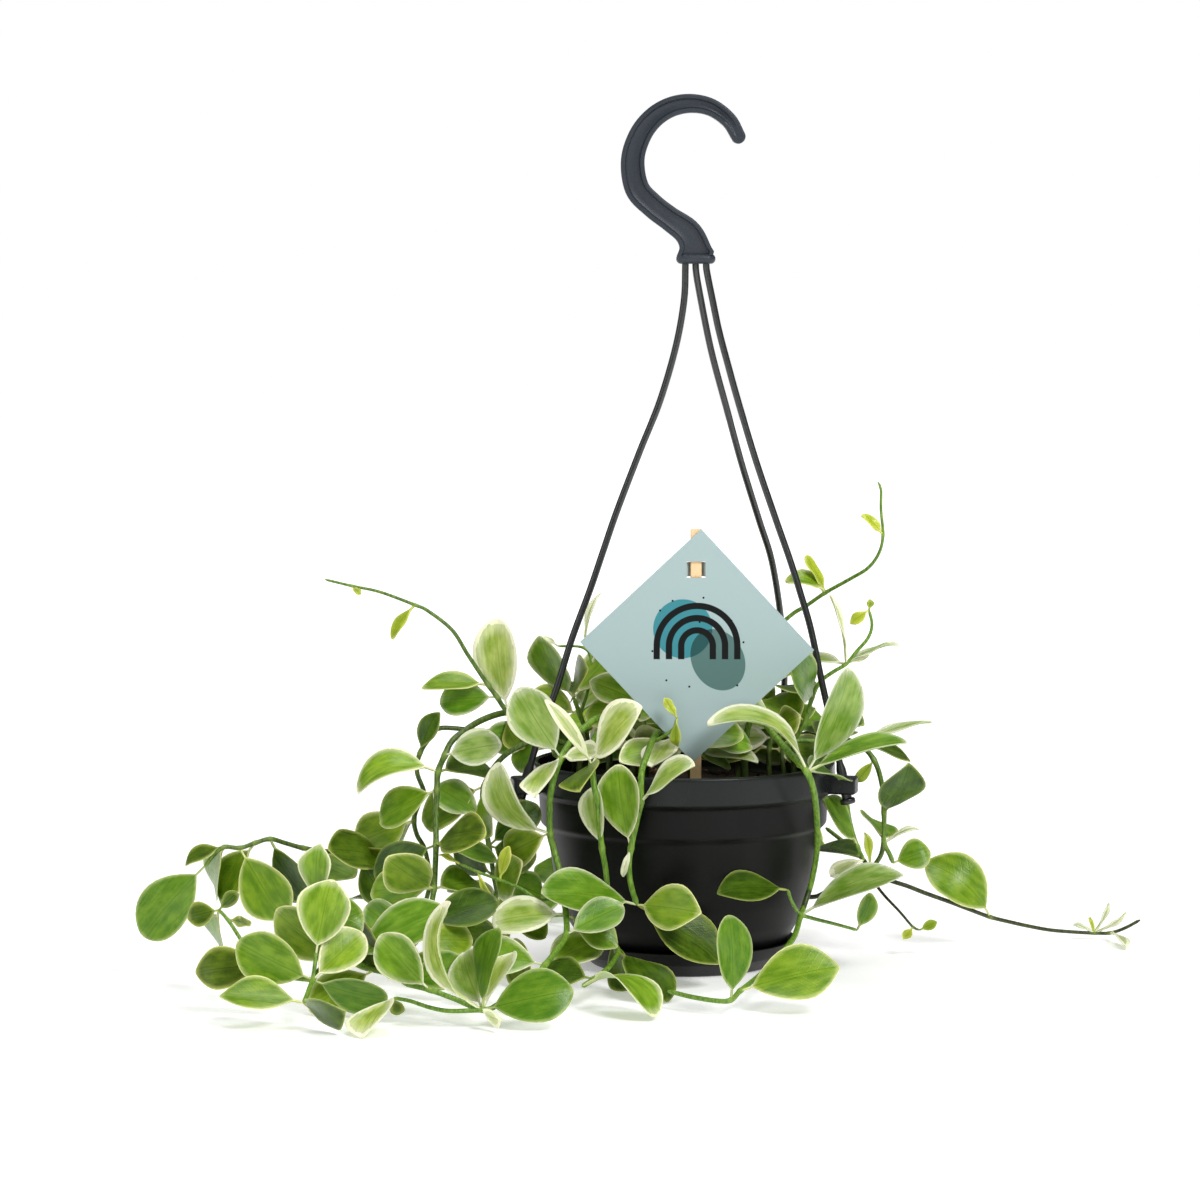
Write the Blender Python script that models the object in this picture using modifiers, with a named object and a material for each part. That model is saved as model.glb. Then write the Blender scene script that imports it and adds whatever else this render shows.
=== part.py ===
"""Dischidia in a black hanging pot: hook, three legs, saucer, card on a stick, soil and trailing vines.

Metres, +Z up. The origin is the centre of the saucer's underside, and the front faces -Y.
"""
import math
from itertools import product

import bpy
import bmesh
import numpy as np
from mathutils import Matrix, Vector
from mathutils.bvhtree import BVHTree

MM = 0.001

# The pot, its saucer and its soil
POT_HEIGHT = 82.0
LIP_RADIUS = 61.0
POT_STEPS = 24
SAUCER_FLOOR = 1.8
SOIL_TOP = 73.0
SOIL_DEPTH = 30.0
HOLE_DEPTH = 8.0

# The hanger
LUG_ANGLES = {"left": 195.0, "right": 345.0, "rear": 55.0}
LUG_RADIUS = 66.0
LUG_HEIGHT = 74.0
LEG_RADIUS = 1.35
LEG_END_RADIUS = 2.0
STOP_RADIUS = 3.1
LEG_SPACING = 18.0
HOOK_THICKNESS = 6.6
HOOK_RIB = 2.0
HOOK_RECESS = 1.7
BASE_SIZE = (15.6, 7.6, 4.0)
BASE_CENTRE = (4.6, 0.0, 283.0)
SOCKET_DEPTH = 2.6

# The card on its stick
CARD_SIDE = 65.0
CARD_THICKNESS = 0.6
CARD_CENTRE = (5.2, 126.0, -38.0)
CARD_TURN = 47.0
STICK_SIZE = (4.4, 2.2)
STICK_TOP = 177.5
STICK_FOOT = 52.0
SLIT_HEIGHT = 6.4
SLIT_CENTRE = 161.6

# The eye that the front places are given from, in millimetres
EYE = Vector((-33.6, -1600.0, 277.0))
EYE_PITCH = math.radians(4.66)
VIEW_HEIGHT = 144.4

# Leaves and stems
LEAF_THICKNESS = 0.9
# Each row of a leaf's surface: its share of the length, and its points from the left edge to the right
LEAF_PLAN = ((0.0, (-1, 1)), (0.32, (-1, 0, 1)), (0.74, (-1, 0, 1)), (1.0, (0,)))
SLIM_PLAN = ((0.0, (-1, 1)), (0.36, (-1, 1)), (0.72, (-1, 1)), (1.0, (0,)))
SLIM_WIDTH = 16.0
LEAF_LENGTH = 31.0
NEW_LEAF_LENGTH = 20.0
STALK_HALF_WIDTH = 0.4
STALK_SHARE = 0.13
FLOOR_CLEAR = 1.2
STEM_SPACING = 12.0
CLEARANCE = 0.8
# How far each kind of leaf is cupped: cream, edged, green, dark and new
CUP = {"C": 0.22, "E": 0.2, "G": 0.16, "D": 0.14, "N": 0.1}
BOW = 0.05
ARCHED_BOW = 0.24
# The blade's outline is b ** first * (1 - b) ** second, which peaks at the last value
OVAL = (0.85, 0.62)
OVAL_PEAK = (0.85 / 1.47) ** 0.85 * (0.62 / 1.47) ** 0.62
WIDTH_SHARE = {"C": 0.6, "N": 0.4}
LEAST_ROLL = math.radians(14.0)
LIFT_TRIES = 4

# Each vine is a list of stems: (route, diameters at root and tip, leaves). A route point is
# (across, height, depth) as seen from the front, and a leaf is (route point, tip across, tip height,
# seen width, lean to the back or front, kind). The first stem roots in the soil.
VINES = {
    "vine_left_arch": [
        ([(-40, 84, 5), (-58, 90, 2), (-70.4, 99.6, 0), (-74.8, 105.6, 0), (-78.4, 110.4, 0),
          (-86.4, 122.4, 0), (-92.8, 132.4, 0), (-102.4, 140, 0), (-107.6, 142.4, 0),
          (-121.6, 147.6, 0), (-132.8, 150, 0), (-143.6, 152.6, 0)],
         (2.6, 1.0), [(2, -74.8, 137.2, 18, 0, "C"), (8, -117.6, 128.8, 4.5, 0, "N"),
                      (10, -129.2, 146.8, 2.8, 0, "N"), (4, -105.2, 109.6, 8, 0, "G"),
                      (3, -98, 104, 15, 0.3, "E"), (2, -63.6, 85.2, 12, -1, "D"),
                      (1, -80, 88, 14, 0.3, "E"), (1, -66, 76, 13, -0.5, "G")]),
        ([(-70.4, 99.6, 0), (-75.6, 98.4, -8), (-81.6, 96, -14), (-86.8, 92.8, -20), (-92.8, 88, -25),
          (-95.6, 82.4, -28), (-98.4, 75.6, -30), (-98.8, 68.4, -32), (-99.2, 56.4, -36),
          (-99.2, 46.4, -41), (-100, 28.8, -52), (-101.6, 20.4, -60), (-103.6, 14.4, -68),
          (-106.8, 8.4, -76), (-110.4, 3.6, -84), (-111.2, -9.6, -112)],
         (2.6, 2.0), [(6, -132, 68, 12, 0, "Ea"), (5, -73, 87, 15, -0.5, "C"),
                      (6, -76.8, 78.4, 13, 1, "D"), (9, -80, 51.6, 14, -1, "D"),
                      (9, -74.8, 39.6, 7, 0, "G"), (10, -119.2, 41.2, 18, -1, "G"),
                      (10, -81.6, 30.4, 13, 1, "G"), (11, -128, 2, 18, 0, "E"),
                      (15, -112, 6.4, 10, 1, "G"), (7, -122, 56, 14, 0.6, "G"),
                      (9, -124, 34, 15, 0.5, "D"), (13, -84, 8, 14, 0.5, "G"),
                      (13, -128, 22, 15, 0.6, "E"), (14, -90, -8, 15, -0.4, "G"),
                      (10, -126, 28, 16, 0.4, "G"), (12, -74, 24, 15, 0.6, "D")]),
    ],
    "vine_left_dark": [
        ([(-44, 86, 12), (-62, 93, 8), (-80, 92, 0), (-97.2, 93.2, -5), (-101.6, 89.2, -6),
          (-105.6, 83.2, -6), (-106.8, 75.6, -6), (-104, 67.2, -8), (-106.4, 62, -8),
          (-108, 56.4, -8), (-106.8, 50.4, -10), (-103.6, 44.4, -10), (-101.6, 32.4, -10),
          (-103.6, 22.4, -14)],
         (2.0, 1.8), [(5, -98.4, 100, 8, 0, "D"), (9, -132.4, 46.4, 19, 0, "G"),
                      (9, -118.4, 42.4, 12, 1, "E"), (13, -128, 45.2, 17, 1, "D"),
                      (13, -134, 25.2, 6, 0, "D")]),
        ([(-101.6, 32.4, -10), (-108, 38, -6), (-118, 40, -8), (-130, 41.2, -14), (-142, 43.6, -20),
          (-152.4, 45.2, -26), (-159.6, 47.2, -30), (-165.6, 48.8, -34), (-171.6, 47.2, -36),
          (-177.6, 45.2, -38), (-184, 45.6, -40), (-188, 42.4, -42), (-191.6, 38, -44)],
         (2.0, 1.6), [(12, -216.8, 9.6, 21, 0, "G"), (10, -200.4, 39.2, 6, 0, "D"),
                      (10, -188, 27.6, 9, 1, "G"), (7, -147.2, 22.8, 13, 1, "D"),
                      (9, -160, 16.4, 21, 0, "G"), (2, -142.4, 44.8, 15, -1, "D"),
                      (5, -131, 34, 12, 0.6, "G"), (4, -158, 24, 15, -0.4, "D"),
                      (8, -186, 22, 13, 0.5, "G"), (3, -118, 22, 14, 0.5, "D")]),
    ],
    "vine_left_over": [
        ([(-42, 84, -10), (-58, 89, -18), (-72, 82, -22), (-80, 70, -26), (-80, 58, -28),
          (-78, 46, -30), (-76, 34, -32), (-74, 24, -36), (-70, 10, -44)],
         (2.4, 1.8), [(3, -104.8, 54.8, 16, 1, "G"), (3, -76.8, 50, 8, -1, "G"),
                      (5, -59.2, 40.4, 18, 0, "D"), (6, -92, 50, 12, 1, "D"),
                      (7, -66, 40, 12, -1, "G"), (8, -96, 12, 13, 0, "D"), (8, -62, -8, 12, -1, "D"),
                      (4, -100, 70, 14, 0.4, "E"), (5, -58, 62, 14, 0.4, "D"),
                      (6, -56, 26, 14, 0.3, "G"), (7, -98, 30, 14, 0.4, "E"),
                      (7, -54, 10, 13, 0.4, "D")]),
    ],
    "vine_front_left": [
        ([(-20, 86, -10), (-33.6, 97.2, -25), (-39.6, 93.6, -32), (-44.8, 88.4, -38),
          (-49.2, 81.2, -48), (-52, 73.2, -52), (-53.6, 64.4, -51), (-53.6, 51.2, -49),
          (-52, 44.4, -49), (-50.4, 38.4, -52), (-49.6, 34, -54), (-48.4, 26.4, -60),
          (-47.2, 18.8, -70), (-47.2, 10.4, -84), (-55.6, -1.6, -108), (-65.6, -11.6, -128),
          (-80.4, -19.6, -144), (-91.6, -15.2, -138), (-101.6, -11.6, -132), (-110.4, -9.2, -126),
          (-115.6, -6, -120), (-123.6, -3.6, -116), (-132.8, -0.4, -114), (-139.6, 0, -114),
          (-144.8, -2.4, -118), (-148.4, -7.6, -126), (-150.8, -13.6, -136), (-152, -16.8, -142)],
         (2.8, 1.8), [(4, -66.8, 109.2, 20, 0, "C"), (4, -60.8, 66.4, 8, -1, "C"),
                      (4, -33.6, 83.6, 8, 0, "C"), (7, -74.8, 79.6, 13, 0, "Ca"), (7, -72, 42, 16, 0.5, "G"),
                      (12, -77.2, 15.6, 15, 0, "C"), (12, -26.8, 5.2, 12, 0, "G"),
                      (16, -44, -11.6, 20, 0, "G"), (16, -94.4, 24.4, 6, 0, "Ca"),
                      (16, -74.8, 13.6, 9, 1, "G"), (16, -72.8, -27.2, 5, 0, "C"),
                      (16, -88.8, 4.4, 12, 1, "C"), (16, -68.8, 4.4, 10, 1, "C"),
                      (19, -86.4, -0.4, 15, 0, "G"), (20, -134.4, 14.4, 14, 1, "D"),
                      (22, -94.4, 20.4, 17, 1, "E"), (25, -178.8, 7.6, 20, 0, "G"),
                      (25, -128, 11.6, 17, 1, "E"), (25, -118.4, -17.6, 13, 0, "G"),
                      (27, -136.4, -28.8, 9, 0, "D"), (27, -186, -14, 12, 0, "G"),
                      (13, -24, 22, 14, 0.5, "E"), (14, -86, 2, 15, 0.4, "E"),
                      (18, -122, 10, 17, 0.4, "E"), (21, -150, -20, 15, -0.3, "G"),
                      (23, -114, 6, 16, 0.5, "D"), (22, -164, 20, 17, 0.3, "G")]),
        ([(-48.4, 26.4, -60), (-57.2, 24.4, -62), (-65.6, 29.2, -62), (-73.6, 32.4, -61),
          (-82.4, 35.6, -58), (-89.6, 38.8, -54)],
         (1.4, 1.0), [(3, -70, 46, 5, 0, "N"), (5, -98, 43, 2, 0, "N"), (4, -76, 22, 3, 0, "N")]),
        ([(-80.4, -19.6, -144), (-93.6, -20, -146), (-101.6, -18.6, -144), (-109.6, -16, -140),
          (-116, -14.8, -136)],
         (1.8, 1.4), [(4, -129.6, -30.8, 9, 0, "C"), (4, -113.6, -22, 6, 0, "D")]),
        ([(-148.4, -7.6, -126), (-157.6, -6.4, -124), (-167.6, -1.6, -118), (-174.4, 4.4, -112),
          (-178.4, 10.4, -106), (-182.4, 16.4, -100), (-186, 20.4, -96)],
         (1.8, 1.3), [(2, -196, -4.4, 17, 0, "D"), (6, -198.8, 17.2, 10, 0, "D"),
                      (6, -178.4, 27.6, 6, 0, "D"), (6, -185.2, 4.4, 8, 1, "G"),
                      (5, -173.2, 14.4, 4, 0, "D")]),
        ([(-148.4, -7.6, -126), (-147.2, 2.4, -122), (-146.4, 12.4, -116), (-146.4, 22.4, -110)],
         (1.6, 1.2), [(3, -146.4, 47.2, 12, 0, "E"), (1, -141, 33, 21, 0.3, "E"),
                      (2, -128, 20, 17, 0.3, "G")]),
    ],
    "vine_front_mid": [
        ([(-30, 86, -8), (-33.2, 92, -14), (-35.2, 90.4, -24), (-37.2, 85.2, -40), (-36.8, 78.4, -58),
          (-36, 70.4, -63), (-34.4, 62.4, -62), (-33.6, 53.2, -60), (-32.8, 45.2, -58),
          (-31.2, 35.6, -56), (-30.4, 24.4, -54), (-30.4, 14.4, -54), (-28.8, 8.4, -58),
          (-26.4, 3.6, -70), (-30.4, -2.8, -84), (-36, -7.2, -96), (-40.4, -10, -106)],
         (2.7, 2.0), [(4, -57.6, 107.6, 4, 0, "C"), (4, -17.6, 102, 8, 0, "C"),
                      (4, -42.8, 69.2, 8, -1, "D"), (8, -36.4, 70, 10, 0, "C"),
                      (12, -52.8, -0.4, 14, -1, "E"), (12, -22.4, -11.6, 10, 1, "D"),
                      (13, -6.4, -16, 13, 1, "D"), (16, -12.4, -24.4, 5, 0, "Ea"),
                      (11, -34.4, 24.4, 3, 0, "N"), (15, -60, -6, 13, 1, "D")]),
    ],
    "vine_front_right": [
        ([(-9.6, 86, -14), (-10.4, 91.6, -22), (-12.8, 87.6, -38), (-14.8, 82.4, -54),
          (-16.8, 76.4, -63), (-17.2, 70.4, -66), (-17.2, 63.6, -65), (-18.8, 56.4, -63),
          (-21.2, 45.2, -61), (-22, 38, -59), (-21.2, 30.4, -58), (-18.8, 22.4, -58)],
         (2.7, 2.2), [(6, 3.6, 79.2, 7, -1, "C"), (8, -26.4, 78.8, 17, 0, "E"),
                      (8, -24.8, 33.2, 3, 0, "C"), (11, -57.2, 27.2, 16, 0, "E"),
                      (11, 6.4, 19.6, 19, -1, "G"), (11, 11.2, 3.6, 16, 1, "E"),
                      (11, 15.2, -0.4, 14, 1, "D")]),
        ([(-12.8, 87.6, -38), (-8, 90, -41), (-4, 93.2, -43), (-2.8, 97.2, -44)],
         (1.5, 1.1), [(3, -8, 105.2, 4, 0, "N"), (3, -3.2, 85.2, 4, 0, "N")]),
    ],
    "vine_right": [
        ([(24.4, 86, -10), (27.2, 98, -14), (32.4, 94.8, -24), (38.4, 87.6, -38), (44.4, 80.8, -50),
          (49.2, 75.6, -55), (52, 67.6, -52), (53.2, 56.4, -44), (53.2, 44.4, -34),
          (51.2, 32.4, -30), (48.8, 24.4, -32), (46.8, 18.4, -38), (44.4, 10.4, -54),
          (38.4, 2.4, -74), (30.4, -5.6, -96), (22.4, -12, -112), (18.8, -15.6, -120),
          (13.6, -16, -120), (3.2, -14.4, -114), (-6.4, -12, -108)],
         (2.8, 1.8), [(5, 8.8, 95.2, 7, -1, "Ca"), (5, 66.4, 117.2, 15, 0, "C"),
                      (5, 89.2, 88.4, 13, 0, "E"), (5, 62.4, 73.2, 6, 1, "E"),
                      (11, 87.6, 35.2, 11, 0, "C"), (15, 62.4, -2, 21, 0, "G"),
                      (16, 17.6, 18.4, 14, 0, "G")]),
        ([(46.8, 18.4, -38), (45.2, 20, -42), (42.8, 24.4, -47), (41.6, 28.4, -50)],
         (1.6, 1.3), [(3, 13.2, 28, 12, 0, "D")]),
        ([(46.8, 18.4, -38), (52.4, 16.8, -34), (60.4, 14.8, -28), (69.2, 12.4, -22)],
         (1.6, 1.2), [(3, 75.2, 27.2, 8, 0, "G")]),
    ],
    "vine_right_up": [
        ([(44, 87, -4), (48.4, 95.6, -6), (51.2, 105.2, -7), (54.4, 111.6, -7), (59.6, 115.6, -7),
          (64.8, 118.8, -7), (69.2, 124, -7), (73.6, 129.2, -7), (75.2, 134.4, -7),
          (74, 140.4, -7)],
         (2.2, 1.2), [(5, 58.4, 146.4, 1.6, -1, "C"), (5, 85.6, 127.6, 2, 0, "C"),
                      (5, 45.2, 120.4, 5, 0, "C"), (5, 74, 122.4, 3, 0, "C"),
                      (9, 66.4, 134.8, 5, 0, "N"), (9, 74.8, 144.8, 3, 0, "N"),
                      (2, 43.6, 118.8, 13, -1, "G"), (1, 33.6, 104.8, 14, 1, "G"),
                      (2, 39.6, 110, 8, 1, "D")]),
    ],
    "vine_right_thin": [
        ([(40, 86, -16), (52, 88, -14), (60.2, 82.8, -12), (64.2, 70.4, -10), (66.4, 56.4, -8),
          (69.2, 46.4, -8), (72, 40.4, -8)],
         (1.8, 1.4), [(5, 55.2, 64.4, 8, 0, "G"), (6, 54.4, 46, 8, 1, "D"),
                      (1, 64.4, 93, 12, 1, "D"), (1, 71.2, 95.6, 6, -1, "D"),
                      (6, 58.4, 34, 6, 0, "C")]),
    ],
    "vine_right_drop": [
        ([(42, 87, 14), (49.6, 91, 16), (58.4, 90, 14), (69.6, 86.8, 10), (76, 80.4, 6),
          (79.2, 70.4, 4), (80, 59.6, 2), (80, 52.4, 2), (80, 47.2, 2), (82.4, 42.4, 2),
          (83.6, 39.2, 2)],
         (2.4, 1.8), [(6, 90.4, 78, 15, -1, "D"), (8, 74.8, 57.6, 10, 1, "G"),
                      (8, 93.6, 54, 2, 0, "C"), (3, 99.2, 96, 3, -1, "C"),
                      (10, 98.8, 44.4, 13, 0, "G"), (3, 90.8, 80, 4, 0, "D"),
                      (4, 68.4, 71.2, 5, 0, "N")]),
        ([(80, 47.2, 2), (78.4, 41.6, 2), (74.4, 37.2, 4), (71.2, 41.2, 8), (64.4, 47.2, 16),
          (56.8, 53.2, 26)],
         (2.0, 1.6), [(2, 72.8, 51.6, 3, 0, "N")]),
    ],
    "vine_long_right": [
        ([(23.2, 88, 32), (25.6, 92, 44), (30.4, 88, 60), (35.2, 72.4, 68), (38.4, 56.4, 66),
          (40, 40.4, 62), (42.4, 27.6, 56), (51.2, 25.6, 46), (63.2, 30.4, 34), (74.4, 33.6, 24),
          (86.8, 30.8, 20), (96.4, 27.2, 22), (106.4, 23.6, 27), (122.4, 17.6, 37),
          (130.4, 15.6, 42), (146.4, 12.4, 48), (164, 11.2, 52), (170.4, 11.2, 50),
          (176.4, 13.2, 48), (182.4, 16.4, 46)],
         (2.4, 1.3), [(13, 96, 40.4, 20, 1, "Ga"), (16, 162.4, 17.6, 2, 0, "N"),
                      (16, 177.2, 19.2, 1.6, 0, "C"), (16, 170, 23.2, 1.6, 0, "C"),
                      (16, 156, 15.2, 2, 0, "C"), (17, 176.8, 6, 2, 0, "C"),
                      (4, 56, 48, 14, 1, "G"), (5, 22, 34, 15, 1, "E"), (3, 12, 80, 14, 1, "G")]),
        ([(74.4, 33.6, 24), (80, 26.4, 20), (86.4, 19.6, 16), (91.6, 13.6, 12), (94.4, 12.4, 11)],
         (1.3, 0.9), [(3, 87.6, 8.8, 4, 0, "N"), (4, 101.2, 15.6, 4.5, 0, "N")]),
    ],
    "vine_back_arch": [
        ([(21.6, 87, 8), (20.8, 98, 16), (24, 112.4, 26), (30.4, 126.4, 32), (42.4, 138, 33),
          (48.8, 142, 32), (56.4, 147.2, 28), (66.4, 152.8, 22), (73.6, 157.2, 18),
          (78, 163.2, 16), (79.6, 170.4, 15), (78.8, 180.4, 15), (78.8, 188.4, 15),
          (77.6, 191.6, 15)],
         (2.2, 1.0), [(6, 40, 152.4, 7, 0, "Ga"), (6, 48.4, 162, 4, 0, "N"),
                      (10, 71.6, 179.2, 4, 0, "N"), (1, 6.4, 102.4, 12, 1, "G"),
                      (2, 12.8, 117.2, 10, 1, "E")]),
    ],
    "vine_rear_left": [
        ([(-18, 86, 30), (-22, 94, 44), (-26, 90, 60), (-30, 76, 67), (-32, 60, 66), (-34, 44, 64),
          (-36, 30, 62), (-38, 22, 66), (-44, 19, 80), (-54, 18, 92)],
         (2.4, 1.6), [(2, -48, 98, 15, 1, "E"), (2, -2, 90, 14, 1, "C"), (4, -52, 70, 15, 1, "G"),
                      (4, -8, 56, 15, 1, "E"), (6, -60, 38, 15, 1, "G"), (6, -14, 30, 14, 1, "D"),
                      (9, -80, 24, 15, 0, "G"), (9, -48, 32, 14, 1, "E")]),
    ],
    "crown_left": [
        ([(-38.4, 86, 14), (-39.2, 92, 14), (-41.6, 98.4, 13), (-44, 105.2, 12)],
         (2.2, 1.8), [(3, -58.4, 130, 13, -1, "E"), (3, -39.2, 117.2, 10, -1, "D"),
                      (2, -28.8, 111.6, 10, 1, "C"), (1, -17.6, 98, 9, 1, "G"),
                      (3, -52.8, 114, 8, 1, "D"), (0, -18, 84, 12, -0.6, "G"),
                      (0, -62, 84, 12, -0.3, "G"), (0, -24, 90, 12, 0.5, "D"),
                      (1, -62, 94, 14, 0.5, "E"), (2, -64, 106, 14, 0.6, "G"),
                      (1, -52, 82, 13, -0.7, "D"), (3, -26, 124, 13, 0.4, "E")]),
        ([(-41.6, 98.4, 13), (-38.4, 108.4, 14), (-36.8, 118.8, 17), (-40, 125.2, 19),
          (-50.4, 126, 19)],
         (1.4, 1.0), [(3, -34.4, 147.6, 1.6, 0, "C"), (2, -23.2, 142.8, 1.6, 0, "C"),
                      (4, -56, 130, 2, 0, "C")]),
    ],
    "crown_front": [
        ([(2.4, 84, -20), (0, 87.8, -22), (-2.6, 90.2, -22)],
         (2.0, 1.7), [(2, -12.8, 77.2, 13, -1, "C"), (1, 18.4, 76.4, 6, 0, "G"),
                      (2, -12.4, 108, 9, 1, "G"), (1, 12, 100, 11, 1, "E"),
                      (1, -28, 88, 13, 0.6, "C"), (2, 28, 86, 12, 0.4, "E"), (2, 20, 97, 13, 1, "D"),
                      (0, 30, 80, 11, -0.5, "C"), (0, -26, 80, 12, -0.4, "E"), (2, 24, 90, 13, 0.2, "G")]),
    ],
    "crown_right": [
        ([(34, 85, 0), (35.2, 89.2, 0), (36.8, 93.2, 0)],
         (2.2, 1.8), [(1, 20.4, 89.2, 11, 0, "C"), (2, 46.4, 98, 13, 0, "G"),
                      (2, 24.4, 95.6, 10, 1, "C"), (2, 32, 108.4, 10, 1, "E"),
                      (1, 46.4, 84.4, 12, 1, "D"), (0, 10, 84, 13, 0.4, "D"),
                      (2, 60, 94, 13, 0.6, "E"), (1, 56, 106, 12, 0.8, "G"), (2, 16, 106, 13, 0.8, "E"),
                      (0, 58, 82, 11, -0.4, "G"), (0, 8, 92, 12, 0.8, "C")]),
    ],
    "crown_rear": [
        ([(2, 86, 24), (0, 92, 26), (-2, 98, 28)],
         (2.2, 1.8), [(2, -22, 112, 14, 1, "E"), (2, 18, 116, 14, 1, "C"), (1, -20, 90, 14, 1, "G"),
                      (1, 22, 98, 13, 1, "D"), (2, 0, 124, 12, 0, "G"),
                      (1, -32, 98, 14, 0.5, "D"), (1, 32, 88, 14, 0.4, "G")]),
    ],
    "crown_middle": [
        ([(-15, 84, 2), (-15, 90, 0), (-16, 96, -2), (-17, 103, -3)],
         (2.2, 1.7), [(3, -38, 112, 13, 0, "E"), (3, 2, 114, 13, 0.2, "G"), (1, -38, 90, 14, 0.2, "C"),
                      (1, 8, 90, 12, -0.4, "E"), (2, -20, 120, 11, 1, "D"), (2, -2, 84, 12, -0.6, "G"),
                      (2, -40, 100, 14, 0.6, "G"), (0, -40, 82, 12, -0.3, "G"),
                      (3, -12, 100, 12, -0.8, "E")]),
    ],
    "crown_back_right": [
        ([(22, 85, 20), (24, 92, 20), (26, 100, 21), (27, 108, 22)],
         (2.2, 1.6), [(3, 50, 118, 13, 0.3, "G"), (3, 6, 120, 12, 0.3, "E"), (1, 48, 96, 13, 0.3, "D"),
                      (1, 0, 94, 12, 0.4, "G"), (2, 30, 128, 11, 1, "C"), (2, 46, 106, 14, 0.7, "E"),
                      (0, 46, 86, 13, 0.2, "C"), (0, 2, 86, 12, 0.6, "D"), (3, 36, 104, 12, -0.6, "G")]),
    ],
}


def clear_scene():
    for item in list(bpy.data.objects):
        bpy.data.objects.remove(item, do_unlink=True)


def new_collection(name):
    collection = bpy.data.collections.new(name)
    bpy.context.scene.collection.children.link(collection)
    return collection


def material(name, colour, roughness):
    made = bpy.data.materials.new(name)
    made.use_nodes = True
    shader = made.node_tree.nodes["Principled BSDF"]
    shader.inputs["Base Color"].default_value = (*colour, 1.0)
    shader.inputs["Roughness"].default_value = roughness
    shader.inputs["Metallic"].default_value = 0.0
    return made


def link(data, name, collection):
    made = bpy.data.objects.new(name, data)
    collection.objects.link(made)
    return made


def mesh_of(source):
    """The evaluated shape of an object as a plain welded mesh in world space."""
    graph = bpy.context.evaluated_depsgraph_get()
    mesh = bpy.data.meshes.new_from_object(source.evaluated_get(graph))
    mesh.transform(source.matrix_world)
    cage = bmesh.new()
    cage.from_mesh(mesh)
    bmesh.ops.remove_doubles(cage, verts=cage.verts, dist=0.001 * MM)
    cage.to_mesh(mesh)
    cage.free()
    return mesh


def bake(source, name, collection):
    """Replace an object by its evaluated shape."""
    mesh = mesh_of(source)
    bpy.data.objects.remove(source, do_unlink=True)
    return link(mesh, name, collection)


def combine(base, collection, operation, solver="EXACT"):
    """Join or cut a piece by every object of a collection, which is then emptied."""
    boolean = base.modifiers.new("combine", "BOOLEAN")
    boolean.operand_type = "COLLECTION"
    boolean.collection = collection
    boolean.operation = operation
    boolean.solver = solver
    bpy.context.view_layer.update()
    name = base.name
    home = base.users_collection[0]
    made = bake(base, name + "_made", home)
    for item in list(collection.objects):
        bpy.data.objects.remove(item, do_unlink=True)
    made.name = name
    return made


def turned(name, profile, collection, steps=POT_STEPS):
    """A turned solid from a closed profile of (radius, height) points in millimetres."""
    mesh = bpy.data.meshes.new(name)
    points = [(radius * MM, 0.0, height * MM) for radius, height in profile]
    mesh.from_pydata(points, [(i, i + 1) for i in range(len(points) - 1)], [])
    made = link(mesh, name + "_profile", collection)
    screw = made.modifiers.new("turn", "SCREW")
    screw.steps = steps
    screw.render_steps = steps
    screw.use_merge_vertices = True
    screw.merge_threshold = 0.0001
    bpy.context.view_layer.update()
    made = bake(made, name, collection)
    cage = bmesh.new()
    cage.from_mesh(made.data)
    bmesh.ops.recalc_face_normals(cage, faces=cage.faces)
    cage.to_mesh(made.data)
    cage.free()
    return made


def primitive(name, collection, matrix, build):
    """A bmesh primitive placed by a matrix."""
    mesh = bpy.data.meshes.new(name)
    cage = bmesh.new()
    build(cage)
    cage.to_mesh(mesh)
    cage.free()
    mesh.transform(matrix)
    return link(mesh, name, collection)


def block(name, collection, size, matrix):
    """A box of a size in millimetres."""
    scale = Matrix.Diagonal((size[0] * MM, size[1] * MM, size[2] * MM, 1.0))
    return primitive(name, collection, matrix @ scale,
                     lambda cage: bmesh.ops.create_cube(cage, size=1.0))


def rod(name, collection, radius, length, matrix, sides=20):
    """A round bar along the matrix's Z, centred, with sizes in millimetres."""
    return primitive(name, collection, matrix, lambda cage: bmesh.ops.create_cone(
        cage, cap_ends=True, segments=sides, radius1=radius * MM, radius2=radius * MM, depth=length * MM))


def tube(name, collection, points, radii, resolution=1):
    """A capped tube through points in metres, with a radius in metres at each."""
    curve = bpy.data.curves.new(name, "CURVE")
    curve.dimensions = "3D"
    curve.bevel_depth = 1.0
    curve.bevel_resolution = resolution
    curve.use_fill_caps = True
    spline = curve.splines.new("POLY")
    spline.points.add(len(points) - 1)
    for place, point, radius in zip(spline.points, points, radii):
        place.co = (*point, 1.0)
        place.radius = radius
    made = link(curve, name + "_curve", collection)
    bpy.context.view_layer.update()
    return bake(made, name, collection)


def front(across, height, depth):
    """The place in millimetres that the eye sees at (across, height) at a depth behind the pot's axis."""
    forward = Vector((0.0, math.cos(EYE_PITCH), -math.sin(EYE_PITCH)))
    upward = Vector((0.0, math.sin(EYE_PITCH), math.cos(EYE_PITCH)))
    distance = -EYE.y
    ray = (forward + Vector((1.0, 0.0, 0.0)) * (across - EYE.x) / distance
           + upward * (height - VIEW_HEIGHT) / distance)
    return EYE + ray * ((depth - EYE.y) / ray.y)


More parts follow.
